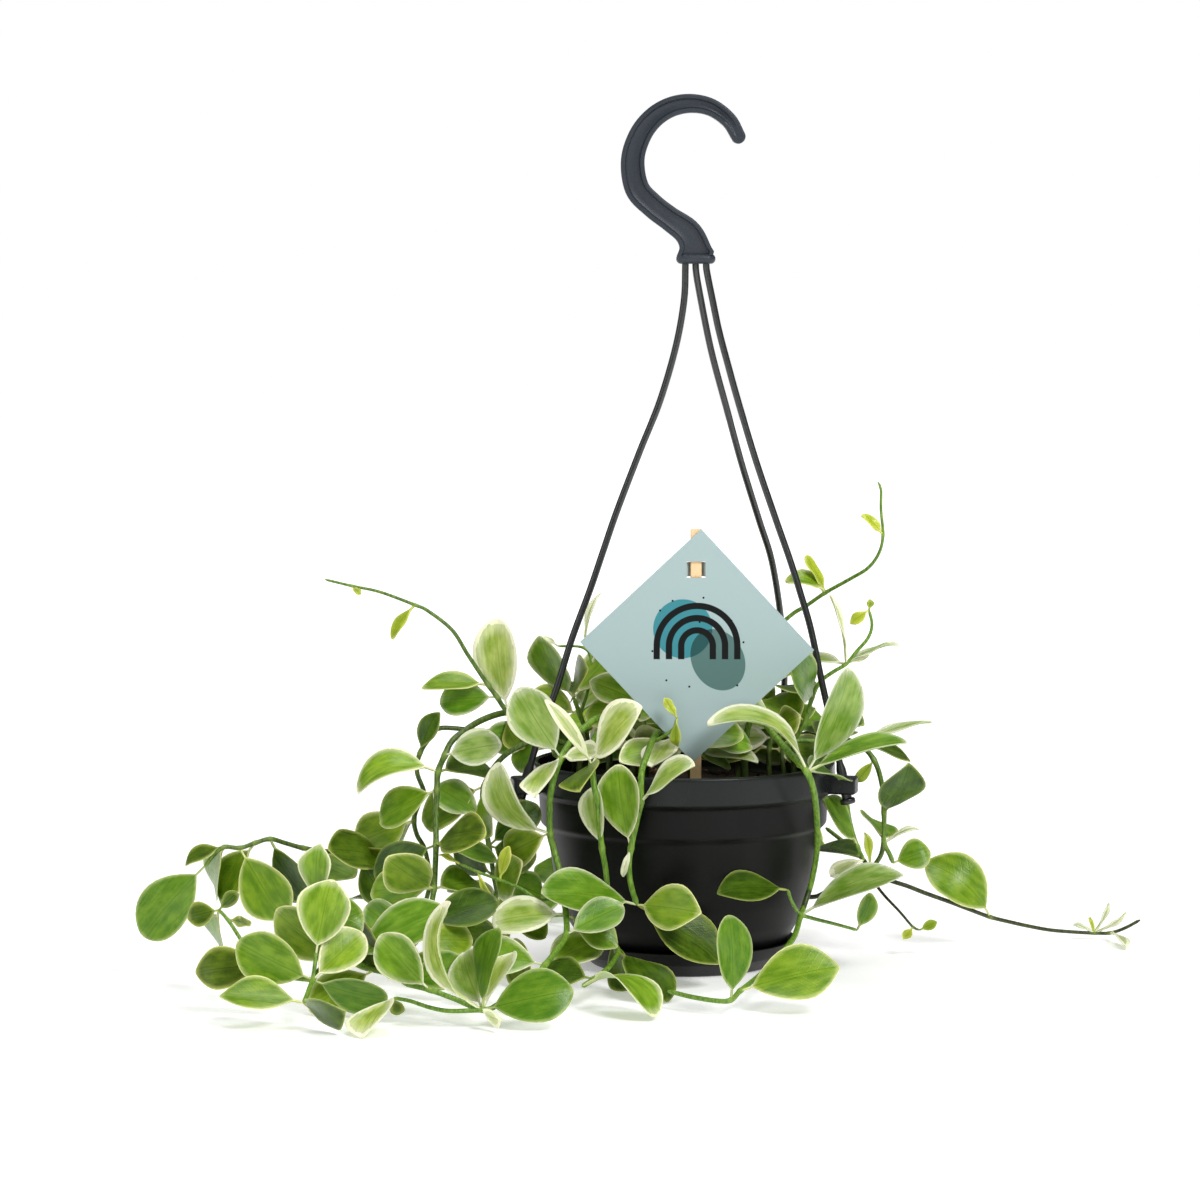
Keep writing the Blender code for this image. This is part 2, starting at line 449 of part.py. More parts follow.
def curved(points, spacing):
    """Samples on a smooth curve through points, and the sample that each point falls on."""
    padded = [points[0] * 2 - points[1], *points, points[-1] * 2 - points[-2]]
    samples = []
    knots = []
    for a, b, c, d in zip(padded, padded[1:], padded[2:], padded[3:]):
        knots.append(len(samples))
        count = max(1, round((c - b).length / spacing))
        for step in range(count):
            t = step / count
            samples.append(0.5 * (2 * b + (c - a) * t + (2 * a - 5 * b + 4 * c - d) * t * t
                                  + (3 * b - a - 3 * c + d) * t ** 3))
    knots.append(len(samples))
    samples.append(points[-1])
    return samples, knots


POT_PROFILE = [(0.0, 2.2), (33.0, 2.2), (37.0, 4.2), (40.6, 8.0), (43.0, 12.0), (46.6, 18.0),
               (49.8, 27.0), (52.4, 38.0), (54.0, 48.0), (55.4, 55.5), (57.6, 57.5), (58.2, 69.0),
               (60.4, 70.4), (LIP_RADIUS, 71.4), (LIP_RADIUS, POT_HEIGHT - 0.8), (60.4, POT_HEIGHT),
               (58.6, POT_HEIGHT)]


def pot_outer(height):
    """The pot's outer radius at a height, and nothing above or below it."""
    for (r0, z0), (r1, z1) in zip(POT_PROFILE, POT_PROFILE[1:]):
        if z0 <= height <= z1 and z1 > z0:
            return r0 + (r1 - r0) * (height - z0) / (z1 - z0)
    return 46.0 if height < POT_PROFILE[0][1] else 0.0


def make_pot(collection, tools):
    inner = [(31.6, 4.0), (38.8, 8.4), (44.6, 18.0), (50.4, 38.0), (53.4, 56.0), (56.4, 69.0),
             (58.6, 72.0)]
    profile = POT_PROFILE + inner[::-1] + [(0.0, 4.0)]
    pot = turned("pot", profile, collection)
    lugs = new_collection("lugs")
    for name, angle in LUG_ANGLES.items():
        turn = Matrix.Rotation(math.radians(angle), 4, "Z")
        place = turn @ Matrix.Translation(Vector((LUG_RADIUS - 1.0, 0.0, LUG_HEIGHT)) * MM)
        block("lug_" + name, lugs, (12.0, 8.4, 7.0), place)
    pot = combine(pot, lugs, "UNION")
    for name, angle in LUG_ANGLES.items():
        points = leg_end(name)
        way = points[0] - points[1]
        place = Matrix.Translation(points[1] * MM) @ way.to_track_quat("Z", "Y").to_matrix().to_4x4()
        rod("lug_hole_" + name, tools, LEG_END_RADIUS + 0.35, 16.0, place, sides=12)
    return combine(pot, tools, "DIFFERENCE")


def make_saucer(collection):
    profile = [(0.0, 0.0), (36.0, 0.0), (37.4, 0.6), (42.6, 5.4), (45.4, 10.4), (44.2, 10.6),
               (41.2, 6.0), (36.0, SAUCER_FLOOR), (0.0, SAUCER_FLOOR)]
    return turned("saucer", profile, collection)


def make_soil(collection, tools, holes):
    """A plug of soil with a low mound, a rough top and a plain hole for each stem and the stick."""
    profile = [(0.0, SOIL_TOP + 1.4), (16.0, SOIL_TOP + 1.2), (30.0, SOIL_TOP + 0.6),
               (43.0, SOIL_TOP - 0.4), (56.0, SOIL_TOP - 2.4), (53.0, 56.0),
               (50.6, SOIL_TOP - SOIL_DEPTH), (0.0, SOIL_TOP - SOIL_DEPTH)]
    soil = turned("soil", profile[::-1], collection, steps=18)
    for vertex in soil.data.vertices:
        reach = math.hypot(vertex.co.x, vertex.co.y)
        if vertex.co.z > (SOIL_TOP - 3) * MM and 0.001 < reach < 50 * MM:
            turn = math.atan2(vertex.co.y, vertex.co.x)
            vertex.co.z += 0.7 * MM * math.sin(5 * turn + 300 * reach) * math.cos(3 * turn)
    for index, (place, hole_radius) in enumerate(holes):
        centre = Vector((place.x, place.y, SOIL_TOP - HOLE_DEPTH + 10.0)) * MM
        rod(f"stem_hole_{index}", tools, hole_radius, 20.0, Matrix.Translation(centre), sides=6)
    width, thickness = STICK_SIZE
    spot = stick_place()
    centre = Vector((spot.x, spot.y, STICK_FOOT - 0.4 + 20.0)) * MM
    block("stick_hole", tools, (width + 0.7, thickness + 0.7, 40.0), Matrix.Translation(centre))
    return combine(soil, tools, "DIFFERENCE")


HOOK_LINE = [(21.4, 331.4, 5.6), (17.6, 337.8, 6.2), (10.6, 342.9, 6.8), (2.4, 344.5, 7.4),
             (-5.6, 343.0, 7.9), (-12.6, 338.6, 8.4), (-17.8, 331.6, 9.0), (-20.6, 322.0, 9.4),
             (-18.9, 311.0, 9.8), (-12.8, 304.2, 9.6), (-6.0, 299.0, 9.6), (0.6, 294.2, 10.8),
             (3.6, 289.4, 11.6), (4.6, 283.6, 12.4)]


def hook_outline(shrink):
    """The hook's outline in the XZ plane, each side drawn in by shrink, as a closed ring."""
    points = [Vector((x, z)) for x, z, _ in HOOK_LINE]
    left, right = [], []
    for index, (_, _, width) in enumerate(HOOK_LINE):
        along = points[min(index + 1, len(points) - 1)] - points[max(index - 1, 0)]
        aside = Vector((-along.y, along.x)).normalized() * (width / 2 - shrink)
        left.append(points[index] + aside)
        right.append(points[index] - aside)
    reach = HOOK_LINE[0][2] / 2 - shrink
    start = math.atan2(*(left[0] - points[0]).yx)
    cap = [points[0] + reach * Vector((math.cos(start + step), math.sin(start + step)))
           for step in (math.radians(angle) for angle in (36, 72, 108, 144))]
    if (cap[1] - points[1]).length < (points[0] - points[1]).length:
        cap = [points[0] * 2 - spot for spot in cap][::-1]
    return left[::-1] + cap + right


def extruded(name, outline, thickness, offset, collection):
    """A flat outline in the XZ plane, extruded along Y."""
    curve = bpy.data.curves.new(name, "CURVE")
    curve.dimensions = "2D"
    curve.fill_mode = "BOTH"
    curve.extrude = thickness / 2 * MM
    spline = curve.splines.new("POLY")
    spline.points.add(len(outline) - 1)
    for place, point in zip(spline.points, outline):
        place.co = (point.x * MM, point.y * MM, 0.0, 1.0)
    spline.use_cyclic_u = True
    made = link(curve, name + "_curve", collection)
    made.rotation_euler = (math.pi / 2, 0.0, 0.0)
    made.location = (0.0, offset * MM, 0.0)
    bpy.context.view_layer.update()
    return bake(made, name, collection)


def leg_tops():
    """Where each leg enters the hook's base, in millimetres."""
    x, y, z = BASE_CENTRE
    foot = z - BASE_SIZE[2] / 2
    return {"left": Vector((x - 4.2, y - 0.8, foot)), "right": Vector((x + 4.2, y - 0.8, foot)),
            "rear": Vector((x, y + 1.2, foot))}


def make_hook(collection, tools):
    hook = extruded("hook", hook_outline(0.0), HOOK_THICKNESS, 0.0, collection)
    reach = HOOK_THICKNESS / 2
    for name, side in (("front", -1.0), ("back", 1.0)):
        extruded("recess_" + name, hook_outline(HOOK_RIB)[1:-1], 2 * HOOK_RECESS, side * reach, tools)
    hook = combine(hook, tools, "DIFFERENCE")
    base = new_collection("hook_base")
    width, depth, height = BASE_SIZE
    centre = Vector(BASE_CENTRE)
    block("base_bar", base, (width - depth, depth, height), Matrix.Translation(centre * MM))
    for side in (-1.0, 1.0):
        end = centre + Vector((side * (width - depth) / 2, 0.0, 0.0))
        rod(f"base_end_{side:+.0f}", base, depth / 2 - 0.05, height - 0.1,
            Matrix.Translation(end * MM), sides=14)
    hook = combine(hook, base, "UNION")
    for name, spot in leg_tops().items():
        rod("socket_" + name, tools, LEG_RADIUS + 0.35, 2 * SOCKET_DEPTH,
            Matrix.Translation(spot * MM), sides=10)
    return combine(hook, tools, "DIFFERENCE")


LEG_ROUTES = {
    "left": [(0.0, 264.0, -0.8), (-3.2, 246.0, -1.0), (-9.6, 224.0, -1.6), (-17.6, 204.0, -3.0),
             (-26.8, 180.0, -5.0), (-37.6, 148.4, -8.4), (-45.0, 128.4, -10.6), (-51.2, 108.4, -13.0),
             (-57.4, 92.0, -15.4)],
    "right": [(11.5, 264.0, -0.8), (14.0, 252.0, -1.0), (21.6, 224.0, -2.0), (28.8, 200.0, -3.6),
              (36.8, 176.4, -5.6), (42.4, 160.4, -7.2), (50.8, 132.4, -10.4), (55.4, 110.4, -13.2),
              (59.6, 92.0, -15.6)],
    "rear": [(6.0, 268.4, 2.6), (10.8, 244.4, 7.0), (17.2, 220.4, 13.0), (23.2, 198.4, 19.6),
             (30.0, 176.4, 28.0), (35.0, 160.4, 34.0), (38.4, 140.0, 41.0), (40.2, 120.0, 47.0),
             (39.4, 97.0, 52.4)],
}


def leg_end(name):
    """The last straight stretch of a leg, from above its lug to below it."""
    turn = math.radians(LUG_ANGLES[name])
    lug = Vector((LUG_RADIUS * math.cos(turn), LUG_RADIUS * math.sin(turn), LUG_HEIGHT))
    way = (front(*LEG_ROUTES[name][-1]) - lug).normalized()
    return [lug + way * 9.0, lug, lug - way * 6.6]


def leg_points(name):
    top = leg_tops()[name]
    route = [front(*point) for point in LEG_ROUTES[name]]
    inside = top + Vector((0, 0, SOCKET_DEPTH - 0.4))
    samples, _ = curved([inside, top - Vector((0, 0, 2.0)), *route], LEG_SPACING)
    return samples + leg_end(name)


def make_leg(name, collection):
    points = leg_points(name)
    radii = [LEG_RADIUS * MM] * (len(points) - 3) + [LEG_END_RADIUS * MM] * 3
    leg = tube("leg_" + name, collection, [point * MM for point in points], radii)
    stop = new_collection("stop_" + name)
    way = points[-2] - points[-1]
    place = Matrix.Translation(points[-1] * MM) @ way.to_track_quat("Z", "Y").to_matrix().to_4x4()
    rod("leg_stop", stop, STOP_RADIUS, 2.4, place, sides=14)
    return combine(leg, stop, "UNION")


def stick_place():
    """The stick's centre in plan, just behind the card."""
    card = front(*CARD_CENTRE)
    return Vector((card.x - 0.4, card.y + CARD_THICKNESS / 2 + 0.35 + STICK_SIZE[1] / 2, 0.0))


def make_stick(collection):
    spot = stick_place()
    width, thickness = STICK_SIZE
    centre = Vector((spot.x, spot.y, (STICK_TOP + STICK_FOOT) / 2)) * MM
    stick = block("stick", collection, (width, thickness, STICK_TOP - STICK_FOOT),
                  Matrix.Translation(centre))
    bevel = stick.modifiers.new("soft_edges", "BEVEL")
    bevel.width = 0.5 * MM
    bevel.segments = 2
    return stick


def make_card(collection, tools):
    """A square card on its corner, with a strap of it bent behind the stick."""
    card_centre = front(*CARD_CENTRE)
    turn = Matrix.Rotation(math.radians(CARD_TURN), 4, "Y")
    card = block("card", collection, (CARD_SIDE, CARD_THICKNESS, CARD_SIDE),
                 Matrix.Translation(card_centre * MM) @ turn)
    spot = stick_place()
    slit = Vector((spot.x, card_centre.y, SLIT_CENTRE))
    width, thickness = STICK_SIZE
    window = width + 3.0
    block("slit", tools, (window, 4.0, SLIT_HEIGHT), Matrix.Translation(slit * MM))
    card = combine(card, tools, "DIFFERENCE")
    strap = new_collection("strap")
    back = spot.y + thickness / 2 + 0.35 + CARD_THICKNESS / 2 - card_centre.y
    ribbon = bpy.data.meshes.new("strap")
    edge = window / 2 + 0.6
    plan = [(-edge, 0.0), (-edge + 0.9, back * 0.6), (-edge + 1.6, back), (edge - 1.6, back),
            (edge - 0.9, back * 0.6), (edge, 0.0)]
    half = SLIT_HEIGHT / 2 - 0.4
    verts = [(slit.x + x, slit.y + y, slit.z + z) for x, y in plan for z in (-half, half)]
    faces = [(2 * i, 2 * i + 2, 2 * i + 3, 2 * i + 1) for i in range(len(plan) - 1)]
    ribbon.from_pydata([Vector(point) * MM for point in verts], [], faces)
    sheet = link(ribbon, "strap_sheet", strap)
    wall = sheet.modifiers.new("wall", "SOLIDIFY")
    wall.thickness = CARD_THICKNESS * MM
    wall.offset = 0.0
    bpy.context.view_layer.update()
    bake(sheet, "strap_solid", strap)
    return combine(card, strap, "UNION")


def stem_solids():
    """The legs, lugs and stick that stems keep clear of, as points and radii in millimetres."""
    points, radii = [], []
    for name in LUG_ANGLES:
        way = leg_points(name)
        for start, stop in zip(way, way[1:]):
            steps = max(1, round((stop - start).length / 3.0))
            for step in range(steps):
                points.append(start.lerp(stop, step / steps))
                radii.append(LEG_RADIUS)
        for height in (-5.0, 0.0, 5.0):
            points.append(way[-2] + Vector((0, 0, height)))
            radii.append(6.4)
    spot = stick_place()
    for height in np.arange(STICK_FOOT, STICK_TOP, 3.0):
        points.append(Vector((spot.x, spot.y, height)))
        radii.append(2.6)
    return points, radii


def push_from_pot(point, radius):
    """How a stem point moves to stay off the pot's wall, rim and soil."""
    reach = math.hypot(point.x, point.y)
    outward = Vector((point.x, point.y, 0.0)) / max(reach, 0.001)
    over = POT_HEIGHT + radius + 0.7 - point.z
    if reach < 56.5 or over <= 0:
        return Vector((0, 0, max(0.0, SOIL_TOP + 3.0 + radius - point.z))) if reach < 56.5 else Vector()
    wide = pot_outer(max(point.z, 0.0)) + radius + 0.7 - reach
    if point.z > 66.0:
        wide = max(wide, LIP_RADIUS + radius + 0.7 - reach)
    if wide <= 0:
        return Vector()
    if over < wide:
        return Vector((0, 0, over))
    return outward * wide


def keep_clear(samples, radii, points, sizes, pinned):
    """Bend a stem clear of what stands near it, of the pot and of the ground."""
    fixed = np.array([tuple(point) for point in points])
    bulk = np.array(sizes)
    for _ in range(90):
        moves = [Vector() for _ in samples]
        worst = 0.0
        for index, (sample, radius) in enumerate(zip(samples, radii)):
            if index < pinned:
                continue
            away = np.array(tuple(sample)) - fixed
            distance = np.sqrt((away ** 2).sum(axis=1))
            need = bulk + radius + CLEARANCE - distance
            nearest = int(need.argmax())
            if need[nearest] > 0:
                way = Vector(away[nearest])
                way.z *= 0.35
                way = way.normalized() if way.length > 0.01 else Vector((0, -1, 0))
                moves[index] += way * float(need[nearest])
                worst = max(worst, float(need[nearest]))
            wall = push_from_pot(sample, radius)
            moves[index] += wall
            low = radius + 0.5 - sample.z
            if low > 0:
                moves[index] += Vector((0, 0, low))
            worst = max(worst, wall.length, low)
        if worst < 0.02:
            break
        for index in range(pinned, len(samples)):
            beside = [moves[near] for near in (index - 1, index + 1) if 0 <= near < len(samples)]
            samples[index] = samples[index] + moves[index] * 0.7 + sum(beside, Vector()) * 0.15
    return samples


def grow_stems():
    """Every stem's samples, radii and route knots, settled in order, and the holes they root in."""
    points, sizes = stem_solids()
    grown = {}
    holes = []
    for vine, stems in VINES.items():
        grown[vine] = []
        added = []
        for order, (route, (thick, thin), _) in enumerate(stems):
            places = [front(*point) for point in route]
            if order == 0:
                foot = places[0]
                holes.append((foot, thick / 2 + 0.4))
                bottom = Vector((foot.x, foot.y, SOIL_TOP - HOLE_DEPTH + 0.8))
                places = [bottom, Vector((foot.x, foot.y, SOIL_TOP + 5.0)), *places]
                places[2] = places[2] if places[2].z > SOIL_TOP + 8 else places[2] + Vector((0, 0, 3))
            else:
                main = grown[vine][0][0]
                places[0] = min(main, key=lambda spot: (spot - places[0]).length)
            samples, knots = curved(places, STEM_SPACING)
            pinned = knots[2] if order == 0 else 1
            if order == 0:
                knots = knots[2:]
            radii = [(thick + (thin - thick) * i / (len(samples) - 1)) / 2 for i in range(len(samples))]
            samples = keep_clear(samples, radii, points, sizes, pinned)
            grown[vine].append((samples, radii, knots))
            for start, stop, radius in zip(samples, samples[1:], radii):
                steps = max(1, round((stop - start).length / 2.5))
                added += [(start.lerp(stop, step / steps), radius) for step in range(steps)]
        points = points + [spot for spot, _ in added]
        sizes = sizes + [radius for _, radius in added]
    return grown, holes


class Blade:
    """One leaf in its pose: where each place of its surface lies, in millimetres."""

    def __init__(self, base, tip, seen_width, kind, extra_roll, scale):
        self.base = base
        self.kind = kind
        self.plan = SLIM_PLAN if seen_width <= SLIM_WIDTH else LEAF_PLAN
        tip = base.lerp(tip, scale)
        for _ in range(LIFT_TRIES):
            self.lie_along(tip, seen_width * scale, math.radians(extra_roll))
            lowest = min(point.z for row in self.rows() for point, _, _ in row)
            if lowest >= FLOOR_CLEAR:
                break
            tip = tip + Vector((0.0, 0.0, 1.3 * (FLOOR_CLEAR - lowest)))

    def lie_along(self, tip, seen_width, extra_roll):
        """Turn the blade about its midrib until the eye sees the width that is asked for."""
        self.axis = tip - self.base
        self.length = self.axis.length
        self.along = self.axis.normalized()
        facing = (EYE - self.base).normalized()
        normal = facing - self.along * facing.dot(self.along)
        normal = normal.normalized() if normal.length > 0.15 else Vector((0, 0, 1))
        share = WIDTH_SHARE["N" if self.kind[0] == "N" else "C"]
        self.width = max(seen_width, share * self.length)
        if seen_width < 4.0:
            self.width = max(seen_width, min(0.25 * self.length, 7.0))
        roll = max(math.acos(min(1.0, seen_width / self.width)), LEAST_ROLL)
        turns = [Matrix.Rotation(side * roll, 3, self.along) @ normal for side in (1.0, -1.0)]
        outward = Vector((self.base.x, self.base.y, 60.0)).normalized()
        self.normal = max(turns, key=outward.dot)
        self.normal = Matrix.Rotation(extra_roll, 3, self.along) @ self.normal
        self.side = self.along.cross(self.normal).normalized()
        self.bow = (ARCHED_BOW if self.kind.endswith("a") else BOW) * self.length

    def half(self, x, least):
        """Half the blade's width at a share of the length: a stalk, then a pointed oval."""
        blade = max(0.0, (x - STALK_SHARE) / (1.0 - STALK_SHARE))
        shape = blade ** OVAL[0] * max(0.0, 1.0 - blade) ** OVAL[1] / OVAL_PEAK
        return max(self.width / 2 * shape, STALK_HALF_WIDTH if x <= STALK_SHARE else least)

    def frame(self, x):
        """The midrib's point at a share of the length, and the way the blade faces there."""
        centre = self.base + self.axis * x + self.normal * (4 * x * (1 - x) * self.bow)
        slope = (self.along * self.length + self.normal * (4 * (1 - 2 * x) * self.bow)).normalized()
        facing = self.side.cross(slope).normalized()
        return centre, facing if facing.dot(self.normal) >= 0 else -facing

    def rows(self):
        """The coarse surface, from stalk to tip, as rows of (point, normal, column)."""
        rows = []
        for x, columns in self.plan:
            half = self.half(x, 0.6)
            centre, facing = self.frame(x)
            row = []
            for column in columns:
                lift = facing * (CUP[self.kind[0]] * half * column * column)
                row.append((centre + self.side * (half * column) + lift, facing, column))
            rows.append(row)
        return rows


def leaf_rows(*pose):
    """A leaf's coarse surface, kept off the ground."""
    rows = Blade(*pose).rows()
    for row in rows:
        for point, _, _ in row:
            point.z = max(point.z, FLOOR_CLEAR)
    return rows


def slab(rows, thickness):
    """A closed thin solid on both sides of a leaf's surface, split alike on both faces."""
    verts = []
    for side in (0.5, -0.5):
        for row in rows:
            for point, normal, _ in row:
                spot = point + normal * (thickness * side)
                verts.append(Vector((spot.x, spot.y, max(spot.z, 0.4))))
    starts = [sum(len(row) for row in rows[:index]) for index in range(len(rows))]
    back = starts[-1] + len(rows[-1])
    faces = []
    for near, far, first, second in zip(rows, rows[1:], starts, starts[1:]):
        i, j = 0, 0
        while i < len(near) - 1 or j < len(far) - 1:
            a, b = first + i, second + j
            if j == len(far) - 1 or (i < len(near) - 1 and near[i + 1][2] <= far[j + 1][2]):
                corner, i = (a, a + 1, b), i + 1
            else:
                corner, j = (a, b + 1, b), j + 1
            faces += [corner, tuple(back + spot for spot in reversed(corner))]
    rim = list(range(len(rows[0])))
    rim += [start + len(row) - 1 for start, row in zip(starts[1:], rows[1:])]
    rim += [starts[-1] + column for column in range(len(rows[-1]) - 2, -1, -1)]
    rim += starts[-2:0:-1]
    for a, b in zip(rim, rim[1:] + rim[:1]):
        faces += [(b, a, back + a), (b, back + a, back + b)]
    return verts, faces


def leaf_tip(base, across, height, lean, kind):
    """A leaf's tip, as far back or forward as its true length and the ground allow."""
    flat = front(across, height, base.y)
    seen = (flat - base).length
    true = NEW_LEAF_LENGTH if kind[0] == "N" else LEAF_LENGTH
    tip = front(across, height, base.y + math.sqrt(max(0.0, true * true - seen * seen)) * lean)
    if tip.z >= FLOOR_CLEAR + 1.0:
        return tip
    drop = (tip - EYE) / (tip - EYE).z
    grounded = EYE + drop * (FLOOR_CLEAR + 1.0 - EYE.z)
    way = grounded - base
    return base + way * min(1.0, true / way.length)


def bounds_of(points):
    low = Vector([min(point[axis] for point in points) for axis in range(3)])
    high = Vector([max(point[axis] for point in points) for axis in range(3)])
    return low, high


class Crowd:
    """What stands round the leaves: each solid's surface tree with its box and its owner."""

    def __init__(self):
        self.items = []

    def add(self, verts, faces, owner):
        if verts:
            self.items.append((BVHTree.FromPolygons(verts, faces), *bounds_of(verts), owner))

    def touches(self, verts, faces, ignore=None):
        tree = BVHTree.FromPolygons(verts, faces)
        low, high = bounds_of(verts)
        for other, other_low, other_high, owner in self.items:
            if owner == ignore:
                continue
            if any(low[i] > other_high[i] or high[i] < other_low[i] for i in range(3)):
                continue
            if tree.overlap(other):
                return True
        return False


SCALES = (1.0, 0.9, 0.8, 0.68)
# Shifts back or forward and rolls, the gentlest pairs first
MOVES = sorted(product((0, -3, 3, -6, 6, -9, 9, -13, 13, -18, 18), (0, 16, -16, 32, -32, 60)),
               key=lambda move: abs(move[0]) / 6 + abs(move[1]) / 16)


def settle_leaf(base, leaf, vine, crowd, inner):
    """The first pose near the wanted one that is clear of all else, or None where there is none."""
    _, across, height, width, lean, kind = leaf
    tip = leaf_tip(base, across, height, lean, kind)
    for scale, (shift, roll) in product(SCALES, MOVES):
        pose = (base, front(across, height, tip.y + shift), width, kind, roll, scale)
        rows = leaf_rows(*pose)
        if crowd.touches(*slab(rows, LEAF_THICKNESS + 0.8), ignore=vine):
            continue
        if inner.touches(*slab(rows[1:], LEAF_THICKNESS)):
            continue
        return pose
    return None


def stem_mesh_points(samples, radii, extra):
    """A plain tube of triangles round a stem, for the clearance of leaves."""
    verts, faces = [], []
    for index, (sample, radius) in enumerate(zip(samples, radii)):
        along = samples[min(index + 1, len(samples) - 1)] - samples[max(index - 1, 0)]
        turn = along.to_track_quat("Z", "Y")
        for corner in range(6):
            angle = math.pi * corner / 3
            around = Vector((math.cos(angle), math.sin(angle), 0.0)) * (radius + extra)
            verts.append(sample + turn @ around)
    for ring in range(len(samples) - 1):
        for corner in range(6):
            a, b = ring * 6 + corner, ring * 6 + (corner + 1) % 6
            faces += [(a, b, b + 6), (a, b + 6, a + 6)]
    return verts, faces


def grow_leaves(grown, pieces):
    """Each vine's settled leaf poses, with the hard pieces given as meshes in metres."""
    crowd = Crowd()
    for piece in pieces:
        verts = [vertex.co / MM for vertex in piece.vertices]
        crowd.add(verts, [tuple(face.vertices) for face in piece.polygons], "pot")
    for vine, stems in grown.items():
        for samples, radii, _ in stems:
            crowd.add(*stem_mesh_points(samples, radii, 0.2), vine)
    poses = {}
    for vine, stems in grown.items():
        inner = Crowd()
        poses[vine] = []
        for (samples, _, knots), (_, _, leaves) in zip(stems, VINES[vine]):
            for leaf in leaves:
                base = samples[knots[min(leaf[0], len(knots) - 1)]]
                pose = settle_leaf(base, leaf, vine, crowd, inner)
                if pose is None:
                    continue
                poses[vine].append(pose)
                rows = leaf_rows(*pose)
                crowd.add(*slab(rows, LEAF_THICKNESS), vine)
                inner.add(*slab(rows[1:], LEAF_THICKNESS), "leaf")
    return poses


def make_vine(vine, stems, poses, collection):
    """One vine as one solid: its stems and leaves joined by a union."""
    joined = new_collection(vine + "_pieces")
    main, radii, _ = stems[0]
    body = tube(vine, collection, [point * MM for point in main],
                [radius * MM for radius in radii], resolution=0)
    for index, (samples, branch_radii, _) in enumerate(stems[1:]):
        tube(f"branch_{index}", joined, [point * MM for point in samples],
             [radius * MM for radius in branch_radii], resolution=0)
    for index, pose in enumerate(poses):
        rows = leaf_rows(*pose)
        verts, faces = slab(rows, LEAF_THICKNESS)
        mesh = bpy.data.meshes.new(f"leaf_{index}")
        mesh.from_pydata([vert * MM for vert in verts], [], faces)
        link(mesh, f"leaf_{index}", joined)
    return combine(body, joined, "UNION", solver="MANIFOLD")


def finish(made, surface):
    made.data.materials.clear()
    made.data.materials.append(surface)
    made.data.shade_smooth()
    made.data.set_sharp_from_angle(angle=math.radians(35))


def main():
    clear_scene()
    plant = new_collection("dischidia")
    tools = new_collection("cutters")
    black = material("black_plastic", (0.016, 0.017, 0.017), 0.38)
    slate = material("slate_plastic", (0.05, 0.056, 0.068), 0.45)
    earth = material("soil", (0.035, 0.022, 0.014), 0.95)
    paper = material("card", (0.48, 0.6, 0.59), 0.6)
    wood = material("wood", (0.72, 0.5, 0.3), 0.6)
    leaf_green = material("leaf_green", (0.2, 0.36, 0.07), 0.4)
    grown, holes = grow_stems()
    hard = {"pot": (make_pot(plant, tools), black), "saucer": (make_saucer(plant), black),
            "soil": (make_soil(plant, tools, holes), earth), "hook": (make_hook(plant, tools), slate),
            "card": (make_card(plant, tools), paper), "stick": (make_stick(plant), wood)}
    for name in LUG_ANGLES:
        hard["leg_" + name] = (make_leg(name, plant), black)
    bpy.context.view_layer.update()
    poses = grow_leaves(grown, [mesh_of(made) for made, _ in hard.values()])
    for made, surface in hard.values():
        finish(made, surface)
    for vine, stems in grown.items():
        finish(make_vine(vine, stems, poses[vine], plant), leaf_green)
    for helper in list(bpy.data.collections):
        if helper is not plant:
            bpy.data.collections.remove(helper)


main()
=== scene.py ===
"""The looks of a dischidia in a black hanging pot: moulded plastic, card, bark, stems and leaves.

The routes of the vines and legs repeat those of the part's source, so each fine piece lies on its solid.
Lengths are in millimetres up to the last step, and MM turns them into metres.
"""
import math
from itertools import product
from random import Random

import bpy
import bmesh
import numpy as np
from mathutils import Matrix, Vector
from mathutils.bvhtree import BVHTree

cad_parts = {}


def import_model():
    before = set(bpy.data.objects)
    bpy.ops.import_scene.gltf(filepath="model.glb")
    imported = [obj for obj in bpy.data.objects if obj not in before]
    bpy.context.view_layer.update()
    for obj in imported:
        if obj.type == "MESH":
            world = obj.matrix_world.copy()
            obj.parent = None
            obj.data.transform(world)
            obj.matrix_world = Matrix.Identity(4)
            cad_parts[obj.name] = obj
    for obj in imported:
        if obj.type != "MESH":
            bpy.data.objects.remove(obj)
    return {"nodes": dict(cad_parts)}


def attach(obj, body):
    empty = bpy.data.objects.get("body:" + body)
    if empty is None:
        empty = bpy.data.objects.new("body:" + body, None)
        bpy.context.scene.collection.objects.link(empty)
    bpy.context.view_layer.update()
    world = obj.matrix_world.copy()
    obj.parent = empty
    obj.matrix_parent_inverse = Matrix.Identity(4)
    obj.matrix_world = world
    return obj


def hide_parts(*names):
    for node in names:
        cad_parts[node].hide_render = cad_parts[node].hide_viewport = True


MM = 0.001

# The pot, its saucer and its soil. A profile's points are (distance from the axis, height).
POT_HEIGHT = 82.0
LIP_RADIUS = 61.0
LIP_FOOT = 71.4
POT_PROFILE = [(0.0, 2.2), (33.0, 2.2), (37.0, 4.2), (40.6, 8.0), (43.0, 12.0), (46.6, 18.0),
               (49.8, 27.0), (52.4, 38.0), (54.0, 48.0), (55.4, 55.5), (57.6, 57.5), (58.2, 69.0),
               (60.4, 70.4), (LIP_RADIUS, 71.4), (LIP_RADIUS, POT_HEIGHT - 0.8), (60.4, POT_HEIGHT),
               (58.6, POT_HEIGHT)]
POT_INSIDE = [(58.6, 72.0), (56.4, 69.0), (53.4, 56.0), (50.4, 38.0), (44.6, 18.0), (38.8, 8.4), (31.6, 4.0)]
POT_FLOOR = 4.0
POT_EASE = 0.9
SAUCER_FLOOR = 1.8
